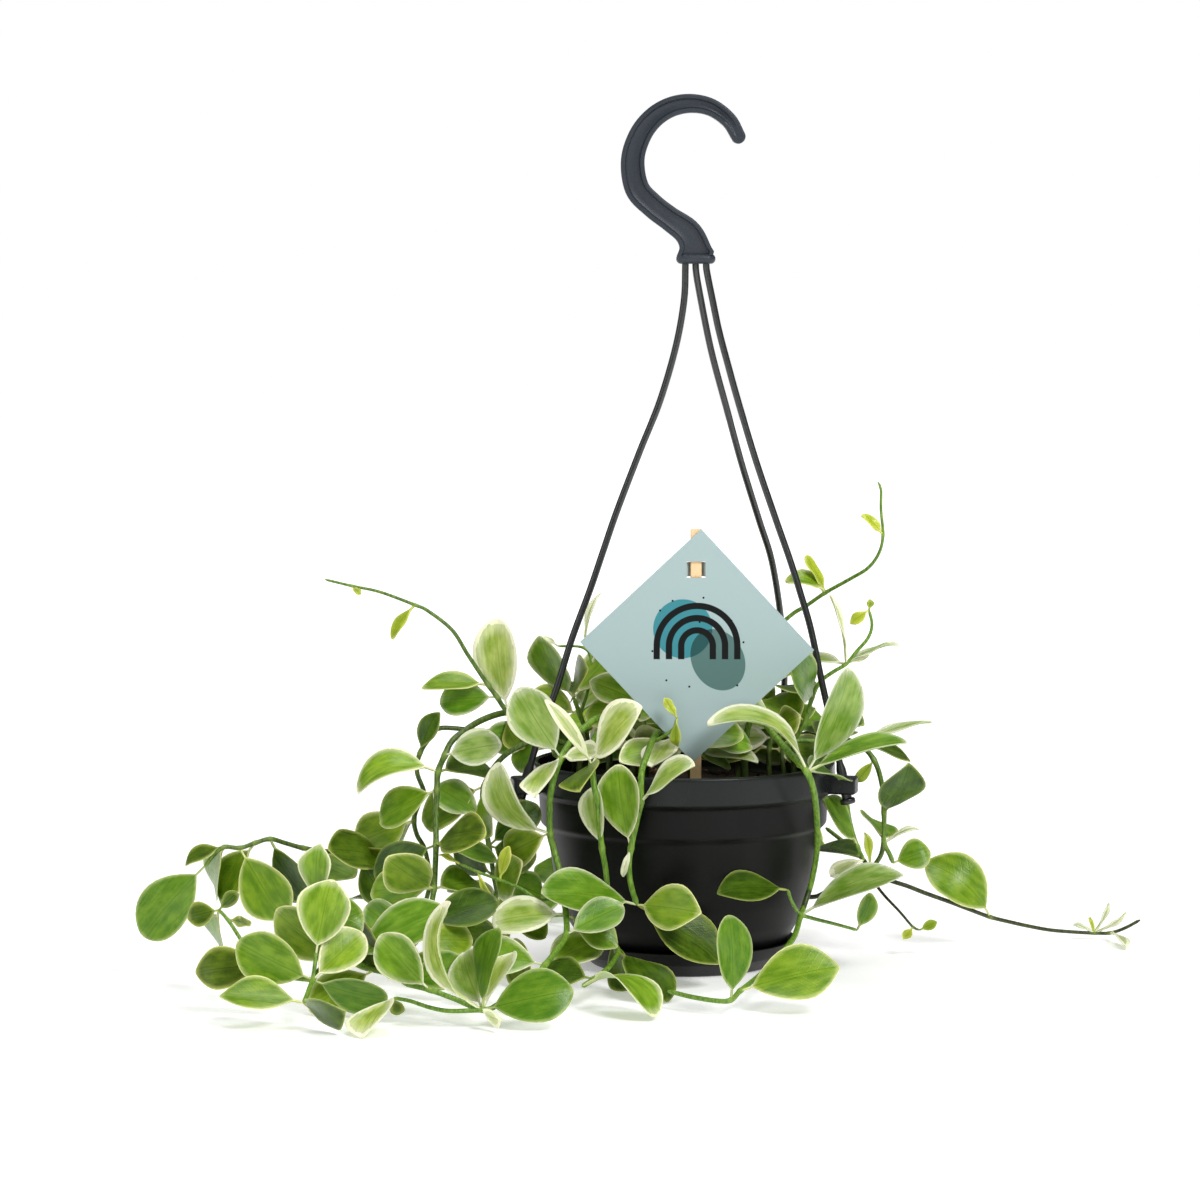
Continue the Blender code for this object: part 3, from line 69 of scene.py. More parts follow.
SAUCER_PROFILE = [(36.0, 0.0), (37.4, 0.6), (42.6, 5.4), (45.4, 10.4), (44.2, 10.6), (41.2, 6.0),
                  (36.0, SAUCER_FLOOR)]
SAUCER_REACH = 46.0
SAUCER_EASE = 0.5
SOIL_TOP = 73.0
SOIL_MOUND = [(0.0, SOIL_TOP + 0.9), (30.0, SOIL_TOP + 0.1), (44.0, SOIL_TOP - 0.9), (54.0, SOIL_TOP - 2.6)]
HOLE_DEPTH = 8.0
TURN_STEPS = 160
SHARP_EDGE = math.radians(50)
MOUND_STEPS = 40

# The hanger's lugs and legs. A route's points are (across, height, depth) as seen from the front.
LUG_ANGLES = {"left": 195.0, "right": 345.0, "rear": 55.0}
LUG_RADIUS = 66.0
LUG_HEIGHT = 74.0
LUG_SIZE = (12.0, 8.4, 7.0)
LUG_INSET = 1.0
LUG_EDGE = 1.1
LEG_RADIUS = 1.35
LEG_END_RADIUS = 2.0
LEG_SPACING = 18.0
LEG_FINE_SPACING = 2.5
LEG_ABOVE_LUG = 9.0
LEG_BELOW_LUG = 6.6
LEG_THICKENING = 3.0
LEG_SIDES = 16
LEG_SOCKETS = {"left": (-4.2, -0.8), "right": (4.2, -0.8), "rear": (0.0, 1.2)}
LEG_ROUTES = {
    "left": [(0.0, 264.0, -0.8), (-3.2, 246.0, -1.0), (-9.6, 224.0, -1.6), (-17.6, 204.0, -3.0),
             (-26.8, 180.0, -5.0), (-37.6, 148.4, -8.4), (-45.0, 128.4, -10.6), (-51.2, 108.4, -13.0),
             (-57.4, 92.0, -15.4)],
    "right": [(11.5, 264.0, -0.8), (14.0, 252.0, -1.0), (21.6, 224.0, -2.0), (28.8, 200.0, -3.6),
              (36.8, 176.4, -5.6), (42.4, 160.4, -7.2), (50.8, 132.4, -10.4), (55.4, 110.4, -13.2),
              (59.6, 92.0, -15.6)],
    "rear": [(6.0, 268.4, 2.6), (10.8, 244.4, 7.0), (17.2, 220.4, 13.0), (23.2, 198.4, 19.6),
             (30.0, 176.4, 28.0), (35.0, 160.4, 34.0), (38.4, 140.0, 41.0), (40.2, 120.0, 47.0),
             (39.4, 97.0, 52.4)],
}
# The stop under a lug: its radius, and along it how far it draws in
STOP_RADIUS = 3.1
STOP_DRAWN_IN = ((-1.2, 0.7), (-1.0, 0.2), (-0.5, 0.0), (0.5, 0.0), (1.0, 0.2), (1.2, 0.7))
STOP_SIDES = 28

# The hook. Its line's points are (across, height, width), from the tip to the base.
HOOK_LINE = [(21.4, 331.4, 5.6), (17.6, 337.8, 6.2), (10.6, 342.9, 6.8), (2.4, 344.5, 7.4),
             (-5.6, 343.0, 7.9), (-12.6, 338.6, 8.4), (-17.8, 331.6, 9.0), (-20.6, 322.0, 9.4),
             (-18.9, 311.0, 9.8), (-12.8, 304.2, 9.6), (-6.0, 299.0, 9.6), (0.6, 294.2, 10.8),
             (3.6, 289.4, 11.6), (4.6, 283.6, 12.4)]
HOOK_SPACING = 1.4
HOOK_THICKNESS = 6.6
HOOK_RIB = 2.0
HOOK_RECESS = 1.7
HOOK_EDGE = 0.7
HOOK_SLOPE = 0.35
# The tip's rounding, as shares of its reach, and how many samples the recess takes to open
HOOK_CAP = (0.995, 0.97, 0.92, 0.84, 0.72, 0.55, 0.36, 0.18)
RECESS_START = 8.0
BASE_SIZE = (15.6, 7.6, 4.0)
BASE_CENTRE = (4.6, 0.0, 283.0)
BASE_EDGE = [(0.0, 1.5), (0.3, 0.8), (0.8, 0.3), (1.5, 0.0)]
BASE_STEPS = 48
SOCKET_DEPTH = 2.6
SOCKET_GAP = 0.4
SOCKET_STRAIGHT = 2.0
FOOT_FLARE = 2.8
FLARE_REACH = 5.0

# The card on its stick
CARD_THICKNESS = 0.6
CARD_CENTRE = (5.2, 126.0, -38.0)
STICK_SIZE = (4.4, 2.2)
STICK_TOP = 177.5
STICK_FOOT = 52.0
# The print: two ovals as (middle, radii), arches by radius, a stroke's half width, and dots
PRINT_SUN = ((-5.6, 6.8), (11.6, 11.6))
PRINT_SHADE = ((8.2, -5.4), (10.2, 12.6))
PRINT_SHADE_TURN = 0.5
PRINT_ARCHES = (6.2, 11.0, 15.8)
PRINT_STROKE = 1.25
PRINT_BLUR = 0.12
PRINT_FOOT = -5.2
PRINT_DOT = (0.42, 0.42)
PRINT_DOTS = ((-14.5, 14.0), (-9.6, 17.8), (2.5, 19.0), (13.5, 10.0), (-17.5, -2.0), (-12.0, -13.5),
              (15.8, -15.5), (1.0, 9.5), (18.2, 1.5), (-3.0, -16.0))

# The eye that the front places are given from
EYE = Vector((-33.6, -1600.0, 277.0))
EYE_PITCH = math.radians(4.66)
VIEW_HEIGHT = 144.4
LENS = 120.0
SENSOR = 36.0

# The leaves' solids: where they are cut along, as shares of the length, and at which columns
LEAF_THICKNESS = 0.9
LEAF_PLAN = ((0.0, (-1, 1)), (0.32, (-1, 0, 1)), (0.74, (-1, 0, 1)), (1.0, (0,)))
SLIM_PLAN = ((0.0, (-1, 1)), (0.36, (-1, 1)), (0.72, (-1, 1)), (1.0, (0,)))
SLIM_WIDTH = 16.0
LEAF_LENGTH = 31.0
NEW_LEAF_LENGTH = 20.0
STALK_HALF_WIDTH = 0.4
STALK_SHARE = 0.13
CUP = {"C": 0.22, "E": 0.2, "G": 0.16, "D": 0.14, "N": 0.1}
BOW = 0.05
ARCHED_BOW = 0.24
# The blade's outline is b ** first * (1 - b) ** second, which peaks at the last value
OVAL = (0.85, 0.62)
OVAL_PEAK = (0.85 / 1.47) ** 0.85 * (0.62 / 1.47) ** 0.62
WIDTH_SHARE = {"C": 0.6, "N": 0.4}
LEAST_HALF_WIDTH = 0.6
LEAST_ROLL = math.radians(14.0)
# A leaf seen narrower than this is taken as edge-on: its true width is a share of its length, up to a most
EDGE_ON = 4.0
EDGE_ON_SHARE = 0.25
EDGE_ON_MOST = 7.0
# A blade faces away from the pot and upwards, as if its base stood this high
FACING_RISE = 60.0
FLOOR_CLEAR = 1.2
TIP_CLEAR = 1.0
SLAB_LOWEST = 0.4
LIFT_TRIES = 4
LIFT_STEP = 1.3
# What a leaf keeps off other vines and off stems, with how many sides those stems are taken
LEAF_GAP = 0.8
STEM_GAP = 0.2
HULL_SIDES = 6
# The poses that a leaf tries: scales, then shifts back or forward and rolls, gentlest first
SCALES = (1.0, 0.9, 0.8, 0.68)
MOVES = sorted(product((0, -3, 3, -6, 6, -9, 9, -13, 13, -18, 18), (0, 16, -16, 32, -32, 60)),
               key=lambda move: abs(move[0]) / 6 + abs(move[1]) / 16)

# How stems are sampled and rooted, and what they keep clear of
STEM_SPACING = 12.0
ROOT_GAP = 0.8
NECK_RISE = 5.0
START_RISE = 8.0
START_LIFT = 3.0
CLEARANCE = 0.8
GROUND_GAP = 0.5
POT_GAP = 0.7
SOIL_GAP = 3.0
RIM_INSIDE = 56.5
RIM_FOOT = 66.0
LUG_BULK = 6.4
LUG_HEIGHTS = (-5.0, 0.0, 5.0)
STICK_BULK = 2.6
SOLID_STEP = 3.0
GROWN_STEP = 2.5
# How stems settle: rounds at most, the push that counts as none, how level a push off a solid is, and how
# much of its own and of its neighbours' pushes a sample takes
SETTLING_ROUNDS = 90
SETTLED = 0.02
PUSH_RISE = 0.35
PUSH_TAKEN = 0.7
PUSH_BESIDE = 0.15

# Each kind's dark green, light green and margin colours, and the margin's width and raggedness in mm
LEAF_LOOKS = {
    "C": ((118, 150, 40), (170, 190, 98), (234, 235, 204), 1.5, 1.5),
    "E": ((93, 134, 18), (136, 171, 48), (232, 233, 190), 0.7, 0.8),
    "G": ((84, 124, 14), (126, 158, 38), (216, 219, 152), 0.45, 0.5),
    "D": ((50, 76, 6), (86, 114, 18), (176, 184, 100), 0.35, 0.3),
    "N": ((125, 147, 24), (162, 181, 48), (204, 210, 106), 0.25, 0.2),
}
KINDS = "".join(LEAF_LOOKS)
UNDER_GREEN = (158, 178, 92)
# How dark each vine's wood is at its root and its tip, from bright green at 0 to near black at 1
STEM_DARKNESS = {"vine_left_arch": (0.75, 0.3), "vine_left_dark": (0.95, 0.5), "vine_left_over": (0.7, 0.6),
                 "vine_long_right": (1.0, 0.92), "vine_right_thin": (0.35, 0.12),
                 "vine_right_drop": (0.8, 0.3), "vine_back_arch": (0.45, 0.15),
                 "vine_rear_left": (0.4, 0.15)}
YOUNG_STEM = (0.14, 0.04)
STEM_GREENS = ((80, 124, 26), (124, 160, 52))
OLD_WOODS = ((30, 34, 18), (58, 64, 28))
JOINT_GREEN = (150, 176, 80)
# Stems are painted darker up to this height inside the pot's lip, as shade inside the pot and for the old
# wood at the roots: how far in, how soon and how dark
ROOT_TOP = 94.0
ROOT_INSET = 3.0
ROOT_FADE = 10.0
ROOT_SHADE_DARKNESS = 0.85

# The fine stems' spacing, sides and swollen joints
FINE_SPACING = 1.5
STEM_SIDES = 10
JOINT_REACH = 2.2
JOINT_SWELL = 0.22
STEM_TIP = 0.5

# Where the fine blade is cut across and along, as shares of its half width, its length and its blade
COLUMNS = (-1.0, -0.965, -0.87, -0.64, -0.32, 0.0, 0.32, 0.64, 0.87, 0.965, 1.0)
STALK_STATIONS = (0.0, 0.05, 0.1)
BLADE_STATIONS = (0.0, 0.05, 0.12, 0.2, 0.29, 0.38, 0.47, 0.56, 0.64, 0.72, 0.79, 0.85, 0.9, 0.94, 0.97,
                  0.99)
# The ranges that each blade draws its wave, its curl and its narrow tip from, and where those start
WAVE_HEIGHT = (0.25, 0.8)
WAVE_TURNS = (0.9, 1.8)
WAVE_START = (0.0, 6.3)
WAVE_SKEW = 2.2
FULL_TURN = 6.28
TIP_CURL = (-0.4, 1.8)
CURL_START = 0.7
TIP_POINTED = (0.05, 0.5)
TIP_START = 0.66
# How soon a stalk has flattened, how thick blade and stalk are, and the groove along the midrib
STALK_BLEND = 0.16
BLADE_FULLNESS = 0.72
STALK_FULLNESS = 0.6
FINE_HALF_WIDTH = 0.5
FINE_LOWEST = 0.5
GROOVE_DEPTH = 0.2
GROOVE_WIDTH = 0.45
# The values that each point of a vine carries for its colours
LEAF_MARKS = ("leaf_across", "leaf_along", "leaf_rim", "leaf_under", "leaf_tone")
STEM_MARKS = ("stem_dark", "stem_joint")

# The pot below its lip, a lighter black at the lip that is a painted sheen, and its dust
POT_BLACK = (8, 9, 8)
LIP_PAINTED_SHEEN = (35, 38, 37)
POT_DUST = (26, 27, 25)
# Each plain plastic's colour, colour of dust, roughness and specular level
PLASTICS = {
    "black_plastic": ((13, 14, 13), (30, 31, 29), 0.34, 0.22),
    "leg_plastic": ((22, 24, 24), (46, 49, 49), 0.3, 0.75),
    "slate_plastic": ((44, 49, 56), (64, 68, 75), 0.4, 0.25),
}
# Two tones of the card's paper, its back, its inks and the ovals' colours
PAPER_TONES = ((153, 174, 174), (163, 182, 182))
CARD_BACK = (170, 182, 180)
PRINT_INK = (12, 14, 15)
SUN_TEAL = (58, 130, 140)
SHADE_TEAL = (58, 96, 92)
BOTH_TEAL = (20, 66, 68)
# Two tones each of wood, peat and bark, and the wood's pores
WOOD_TONES = ((222, 178, 128), (246, 218, 176))
WOOD_PORES = (176, 126, 78)
PEAT_TONES = ((24, 17, 13), (72, 54, 40))
BARK_TONES = ((78, 48, 28), (156, 108, 68))
# Loose bits on the soil: a chip's size and points, chips to a square metre, their scales, and the seed
CRUMBS = {
    "bark_bits": ((5.6, 3.4, 1.6), 12, 24000.0, (0.6, 1.3), 3),
    "peat_bits": ((2.2, 1.7, 1.2), 8, 160000.0, (0.5, 1.2), 5),
}
# How far a chip may turn about each axis, and how much of the crumbs is bark
CHIP_TURNS = ((-0.7, -0.7, 0.0), (0.7, 0.7, FULL_TURN))
BARK_SHARE = 0.3

# The sweep's half width in metres, its own light by the pot and far off, and where that rises in millimetres
FLOOR_HALF = 6.0
FLOOR_GLOW = (0.32, 1.0)
FLOOR_REACH = (300.0, 1300.0)
# The sky's strength for diffuse light, for reflections and for the eye
SKY_GLOW = (0.3, 0.14, 1.0)
# Each softbox's place, size and power, and the place that they all face, in metres
LIGHTS = {
    "key": ((0.8, -1.2, 1.3), (0.6, 0.6), 24.0),
    "fill": ((-1.3, -0.9, 0.8), (1.1, 1.1), 6.0),
    "top": ((-0.1, 0.2, 1.6), (0.9, 0.9), 10.5),
}
LIGHTS_FACE = (0.0, 0.0, 0.1)

# Each vine is a list of stems: (route, diameters at root and tip, leaves). A route point is
# (across, height, depth) as seen from the front, and a leaf is (route point, tip across, tip height,
# seen width, lean to the back or front, kind). The first stem roots in the soil.
VINES = {
    "vine_left_arch": [
        ([(-40, 84, 5), (-58, 90, 2), (-70.4, 99.6, 0), (-74.8, 105.6, 0), (-78.4, 110.4, 0),
          (-86.4, 122.4, 0), (-92.8, 132.4, 0), (-102.4, 140, 0), (-107.6, 142.4, 0),
          (-121.6, 147.6, 0), (-132.8, 150, 0), (-143.6, 152.6, 0)],
         (2.6, 1.0), [(2, -74.8, 137.2, 18, 0, "C"), (8, -117.6, 128.8, 4.5, 0, "N"),
                      (10, -129.2, 146.8, 2.8, 0, "N"), (4, -105.2, 109.6, 8, 0, "G"),
                      (3, -98, 104, 15, 0.3, "E"), (2, -63.6, 85.2, 12, -1, "D"),
                      (1, -80, 88, 14, 0.3, "E"), (1, -66, 76, 13, -0.5, "G")]),
        ([(-70.4, 99.6, 0), (-75.6, 98.4, -8), (-81.6, 96, -14), (-86.8, 92.8, -20), (-92.8, 88, -25),
          (-95.6, 82.4, -28), (-98.4, 75.6, -30), (-98.8, 68.4, -32), (-99.2, 56.4, -36),
          (-99.2, 46.4, -41), (-100, 28.8, -52), (-101.6, 20.4, -60), (-103.6, 14.4, -68),
          (-106.8, 8.4, -76), (-110.4, 3.6, -84), (-111.2, -9.6, -112)],
         (2.6, 2.0), [(6, -132, 68, 12, 0, "Ea"), (5, -73, 87, 15, -0.5, "C"),
                      (6, -76.8, 78.4, 13, 1, "D"), (9, -80, 51.6, 14, -1, "D"),
                      (9, -74.8, 39.6, 7, 0, "G"), (10, -119.2, 41.2, 18, -1, "G"),
                      (10, -81.6, 30.4, 13, 1, "G"), (11, -128, 2, 18, 0, "E"),
                      (15, -112, 6.4, 10, 1, "G"), (7, -122, 56, 14, 0.6, "G"),
                      (9, -124, 34, 15, 0.5, "D"), (13, -84, 8, 14, 0.5, "G"),
                      (13, -128, 22, 15, 0.6, "E"), (14, -90, -8, 15, -0.4, "G"),
                      (10, -126, 28, 16, 0.4, "G"), (12, -74, 24, 15, 0.6, "D")]),
    ],
    "vine_left_dark": [
        ([(-44, 86, 12), (-62, 93, 8), (-80, 92, 0), (-97.2, 93.2, -5), (-101.6, 89.2, -6),
          (-105.6, 83.2, -6), (-106.8, 75.6, -6), (-104, 67.2, -8), (-106.4, 62, -8),
          (-108, 56.4, -8), (-106.8, 50.4, -10), (-103.6, 44.4, -10), (-101.6, 32.4, -10),
          (-103.6, 22.4, -14)],
         (2.0, 1.8), [(5, -98.4, 100, 8, 0, "D"), (9, -132.4, 46.4, 19, 0, "G"),
                      (9, -118.4, 42.4, 12, 1, "E"), (13, -128, 45.2, 17, 1, "D"),
                      (13, -134, 25.2, 6, 0, "D")]),
        ([(-101.6, 32.4, -10), (-108, 38, -6), (-118, 40, -8), (-130, 41.2, -14), (-142, 43.6, -20),
          (-152.4, 45.2, -26), (-159.6, 47.2, -30), (-165.6, 48.8, -34), (-171.6, 47.2, -36),
          (-177.6, 45.2, -38), (-184, 45.6, -40), (-188, 42.4, -42), (-191.6, 38, -44)],
         (2.0, 1.6), [(12, -216.8, 9.6, 21, 0, "G"), (10, -200.4, 39.2, 6, 0, "D"),
                      (10, -188, 27.6, 9, 1, "G"), (7, -147.2, 22.8, 13, 1, "D"),
                      (9, -160, 16.4, 21, 0, "G"), (2, -142.4, 44.8, 15, -1, "D"),
                      (5, -131, 34, 12, 0.6, "G"), (4, -158, 24, 15, -0.4, "D"),
                      (8, -186, 22, 13, 0.5, "G"), (3, -118, 22, 14, 0.5, "D")]),
    ],
    "vine_left_over": [
        ([(-42, 84, -10), (-58, 89, -18), (-72, 82, -22), (-80, 70, -26), (-80, 58, -28),
          (-78, 46, -30), (-76, 34, -32), (-74, 24, -36), (-70, 10, -44)],
         (2.4, 1.8), [(3, -104.8, 54.8, 16, 1, "G"), (3, -76.8, 50, 8, -1, "G"),
                      (5, -59.2, 40.4, 18, 0, "D"), (6, -92, 50, 12, 1, "D"),
                      (7, -66, 40, 12, -1, "G"), (8, -96, 12, 13, 0, "D"), (8, -62, -8, 12, -1, "D"),
                      (4, -100, 70, 14, 0.4, "E"), (5, -58, 62, 14, 0.4, "D"),
                      (6, -56, 26, 14, 0.3, "G"), (7, -98, 30, 14, 0.4, "E"),
                      (7, -54, 10, 13, 0.4, "D")]),
    ],
    "vine_front_left": [
        ([(-20, 86, -10), (-33.6, 97.2, -25), (-39.6, 93.6, -32), (-44.8, 88.4, -38),
          (-49.2, 81.2, -48), (-52, 73.2, -52), (-53.6, 64.4, -51), (-53.6, 51.2, -49),
          (-52, 44.4, -49), (-50.4, 38.4, -52), (-49.6, 34, -54), (-48.4, 26.4, -60),
          (-47.2, 18.8, -70), (-47.2, 10.4, -84), (-55.6, -1.6, -108), (-65.6, -11.6, -128),
          (-80.4, -19.6, -144), (-91.6, -15.2, -138), (-101.6, -11.6, -132), (-110.4, -9.2, -126),
          (-115.6, -6, -120), (-123.6, -3.6, -116), (-132.8, -0.4, -114), (-139.6, 0, -114),
          (-144.8, -2.4, -118), (-148.4, -7.6, -126), (-150.8, -13.6, -136), (-152, -16.8, -142)],
         (2.8, 1.8), [(4, -66.8, 109.2, 20, 0, "C"), (4, -60.8, 66.4, 8, -1, "C"),
                      (4, -33.6, 83.6, 8, 0, "C"), (7, -74.8, 79.6, 13, 0, "Ca"), (7, -72, 42, 16, 0.5, "G"),
                      (12, -77.2, 15.6, 15, 0, "C"), (12, -26.8, 5.2, 12, 0, "G"),
                      (16, -44, -11.6, 20, 0, "G"), (16, -94.4, 24.4, 6, 0, "Ca"),
                      (16, -74.8, 13.6, 9, 1, "G"), (16, -72.8, -27.2, 5, 0, "C"),
                      (16, -88.8, 4.4, 12, 1, "C"), (16, -68.8, 4.4, 10, 1, "C"),
                      (19, -86.4, -0.4, 15, 0, "G"), (20, -134.4, 14.4, 14, 1, "D"),
                      (22, -94.4, 20.4, 17, 1, "E"), (25, -178.8, 7.6, 20, 0, "G"),
                      (25, -128, 11.6, 17, 1, "E"), (25, -118.4, -17.6, 13, 0, "G"),
                      (27, -136.4, -28.8, 9, 0, "D"), (27, -186, -14, 12, 0, "G"),
                      (13, -24, 22, 14, 0.5, "E"), (14, -86, 2, 15, 0.4, "E"),
                      (18, -122, 10, 17, 0.4, "E"), (21, -150, -20, 15, -0.3, "G"),
                      (23, -114, 6, 16, 0.5, "D"), (22, -164, 20, 17, 0.3, "G")]),
        ([(-48.4, 26.4, -60), (-57.2, 24.4, -62), (-65.6, 29.2, -62), (-73.6, 32.4, -61),
          (-82.4, 35.6, -58), (-89.6, 38.8, -54)],
         (1.4, 1.0), [(3, -70, 46, 5, 0, "N"), (5, -98, 43, 2, 0, "N"), (4, -76, 22, 3, 0, "N")]),
        ([(-80.4, -19.6, -144), (-93.6, -20, -146), (-101.6, -18.6, -144), (-109.6, -16, -140),
          (-116, -14.8, -136)],
         (1.8, 1.4), [(4, -129.6, -30.8, 9, 0, "C"), (4, -113.6, -22, 6, 0, "D")]),
        ([(-148.4, -7.6, -126), (-157.6, -6.4, -124), (-167.6, -1.6, -118), (-174.4, 4.4, -112),
          (-178.4, 10.4, -106), (-182.4, 16.4, -100), (-186, 20.4, -96)],
         (1.8, 1.3), [(2, -196, -4.4, 17, 0, "D"), (6, -198.8, 17.2, 10, 0, "D"),
                      (6, -178.4, 27.6, 6, 0, "D"), (6, -185.2, 4.4, 8, 1, "G"),
                      (5, -173.2, 14.4, 4, 0, "D")]),
        ([(-148.4, -7.6, -126), (-147.2, 2.4, -122), (-146.4, 12.4, -116), (-146.4, 22.4, -110)],
         (1.6, 1.2), [(3, -146.4, 47.2, 12, 0, "E"), (1, -141, 33, 21, 0.3, "E"),
                      (2, -128, 20, 17, 0.3, "G")]),
    ],
    "vine_front_mid": [
        ([(-30, 86, -8), (-33.2, 92, -14), (-35.2, 90.4, -24), (-37.2, 85.2, -40), (-36.8, 78.4, -58),
          (-36, 70.4, -63), (-34.4, 62.4, -62), (-33.6, 53.2, -60), (-32.8, 45.2, -58),
          (-31.2, 35.6, -56), (-30.4, 24.4, -54), (-30.4, 14.4, -54), (-28.8, 8.4, -58),
          (-26.4, 3.6, -70), (-30.4, -2.8, -84), (-36, -7.2, -96), (-40.4, -10, -106)],
         (2.7, 2.0), [(4, -57.6, 107.6, 4, 0, "C"), (4, -17.6, 102, 8, 0, "C"),
                      (4, -42.8, 69.2, 8, -1, "D"), (8, -36.4, 70, 10, 0, "C"),
                      (12, -52.8, -0.4, 14, -1, "E"), (12, -22.4, -11.6, 10, 1, "D"),
                      (13, -6.4, -16, 13, 1, "D"), (16, -12.4, -24.4, 5, 0, "Ea"),
                      (11, -34.4, 24.4, 3, 0, "N"), (15, -60, -6, 13, 1, "D")]),
    ],
    "vine_front_right": [
        ([(-9.6, 86, -14), (-10.4, 91.6, -22), (-12.8, 87.6, -38), (-14.8, 82.4, -54),
          (-16.8, 76.4, -63), (-17.2, 70.4, -66), (-17.2, 63.6, -65), (-18.8, 56.4, -63),
          (-21.2, 45.2, -61), (-22, 38, -59), (-21.2, 30.4, -58), (-18.8, 22.4, -58)],
         (2.7, 2.2), [(6, 3.6, 79.2, 7, -1, "C"), (8, -26.4, 78.8, 17, 0, "E"),
                      (8, -24.8, 33.2, 3, 0, "C"), (11, -57.2, 27.2, 16, 0, "E"),
                      (11, 6.4, 19.6, 19, -1, "G"), (11, 11.2, 3.6, 16, 1, "E"),
                      (11, 15.2, -0.4, 14, 1, "D")]),
        ([(-12.8, 87.6, -38), (-8, 90, -41), (-4, 93.2, -43), (-2.8, 97.2, -44)],
         (1.5, 1.1), [(3, -8, 105.2, 4, 0, "N"), (3, -3.2, 85.2, 4, 0, "N")]),
    ],
    "vine_right": [
        ([(24.4, 86, -10), (27.2, 98, -14), (32.4, 94.8, -24), (38.4, 87.6, -38), (44.4, 80.8, -50),
          (49.2, 75.6, -55), (52, 67.6, -52), (53.2, 56.4, -44), (53.2, 44.4, -34),
          (51.2, 32.4, -30), (48.8, 24.4, -32), (46.8, 18.4, -38), (44.4, 10.4, -54),
          (38.4, 2.4, -74), (30.4, -5.6, -96), (22.4, -12, -112), (18.8, -15.6, -120),
          (13.6, -16, -120), (3.2, -14.4, -114), (-6.4, -12, -108)],
         (2.8, 1.8), [(5, 8.8, 95.2, 7, -1, "Ca"), (5, 66.4, 117.2, 15, 0, "C"),
                      (5, 89.2, 88.4, 13, 0, "E"), (5, 62.4, 73.2, 6, 1, "E"),
                      (11, 87.6, 35.2, 11, 0, "C"), (15, 62.4, -2, 21, 0, "G"),
                      (16, 17.6, 18.4, 14, 0, "G")]),
        ([(46.8, 18.4, -38), (45.2, 20, -42), (42.8, 24.4, -47), (41.6, 28.4, -50)],
         (1.6, 1.3), [(3, 13.2, 28, 12, 0, "D")]),
        ([(46.8, 18.4, -38), (52.4, 16.8, -34), (60.4, 14.8, -28), (69.2, 12.4, -22)],
         (1.6, 1.2), [(3, 75.2, 27.2, 8, 0, "G")]),
    ],
    "vine_right_up": [
        ([(44, 87, -4), (48.4, 95.6, -6), (51.2, 105.2, -7), (54.4, 111.6, -7), (59.6, 115.6, -7),
          (64.8, 118.8, -7), (69.2, 124, -7), (73.6, 129.2, -7), (75.2, 134.4, -7),
          (74, 140.4, -7)],
         (2.2, 1.2), [(5, 58.4, 146.4, 1.6, -1, "C"), (5, 85.6, 127.6, 2, 0, "C"),
                      (5, 45.2, 120.4, 5, 0, "C"), (5, 74, 122.4, 3, 0, "C"),
                      (9, 66.4, 134.8, 5, 0, "N"), (9, 74.8, 144.8, 3, 0, "N"),
                      (2, 43.6, 118.8, 13, -1, "G"), (1, 33.6, 104.8, 14, 1, "G"),
                      (2, 39.6, 110, 8, 1, "D")]),
    ],
    "vine_right_thin": [
        ([(40, 86, -16), (52, 88, -14), (60.2, 82.8, -12), (64.2, 70.4, -10), (66.4, 56.4, -8),
          (69.2, 46.4, -8), (72, 40.4, -8)],
         (1.8, 1.4), [(5, 55.2, 64.4, 8, 0, "G"), (6, 54.4, 46, 8, 1, "D"),
                      (1, 64.4, 93, 12, 1, "D"), (1, 71.2, 95.6, 6, -1, "D"),
                      (6, 58.4, 34, 6, 0, "C")]),
    ],
    "vine_right_drop": [
        ([(42, 87, 14), (49.6, 91, 16), (58.4, 90, 14), (69.6, 86.8, 10), (76, 80.4, 6),
          (79.2, 70.4, 4), (80, 59.6, 2), (80, 52.4, 2), (80, 47.2, 2), (82.4, 42.4, 2),
          (83.6, 39.2, 2)],
         (2.4, 1.8), [(6, 90.4, 78, 15, -1, "D"), (8, 74.8, 57.6, 10, 1, "G"),
                      (8, 93.6, 54, 2, 0, "C"), (3, 99.2, 96, 3, -1, "C"),
                      (10, 98.8, 44.4, 13, 0, "G"), (3, 90.8, 80, 4, 0, "D"),
                      (4, 68.4, 71.2, 5, 0, "N")]),
        ([(80, 47.2, 2), (78.4, 41.6, 2), (74.4, 37.2, 4), (71.2, 41.2, 8), (64.4, 47.2, 16),
          (56.8, 53.2, 26)],
         (2.0, 1.6), [(2, 72.8, 51.6, 3, 0, "N")]),
    ],
    "vine_long_right": [
        ([(23.2, 88, 32), (25.6, 92, 44), (30.4, 88, 60), (35.2, 72.4, 68), (38.4, 56.4, 66),
          (40, 40.4, 62), (42.4, 27.6, 56), (51.2, 25.6, 46), (63.2, 30.4, 34), (74.4, 33.6, 24),
          (86.8, 30.8, 20), (96.4, 27.2, 22), (106.4, 23.6, 27), (122.4, 17.6, 37),
          (130.4, 15.6, 42), (146.4, 12.4, 48), (164, 11.2, 52), (170.4, 11.2, 50),
          (176.4, 13.2, 48), (182.4, 16.4, 46)],
         (2.4, 1.3), [(13, 96, 40.4, 20, 1, "Ga"), (16, 162.4, 17.6, 2, 0, "N"),
                      (16, 177.2, 19.2, 1.6, 0, "C"), (16, 170, 23.2, 1.6, 0, "C"),
                      (16, 156, 15.2, 2, 0, "C"), (17, 176.8, 6, 2, 0, "C"),
                      (4, 56, 48, 14, 1, "G"), (5, 22, 34, 15, 1, "E"), (3, 12, 80, 14, 1, "G")]),
        ([(74.4, 33.6, 24), (80, 26.4, 20), (86.4, 19.6, 16), (91.6, 13.6, 12), (94.4, 12.4, 11)],
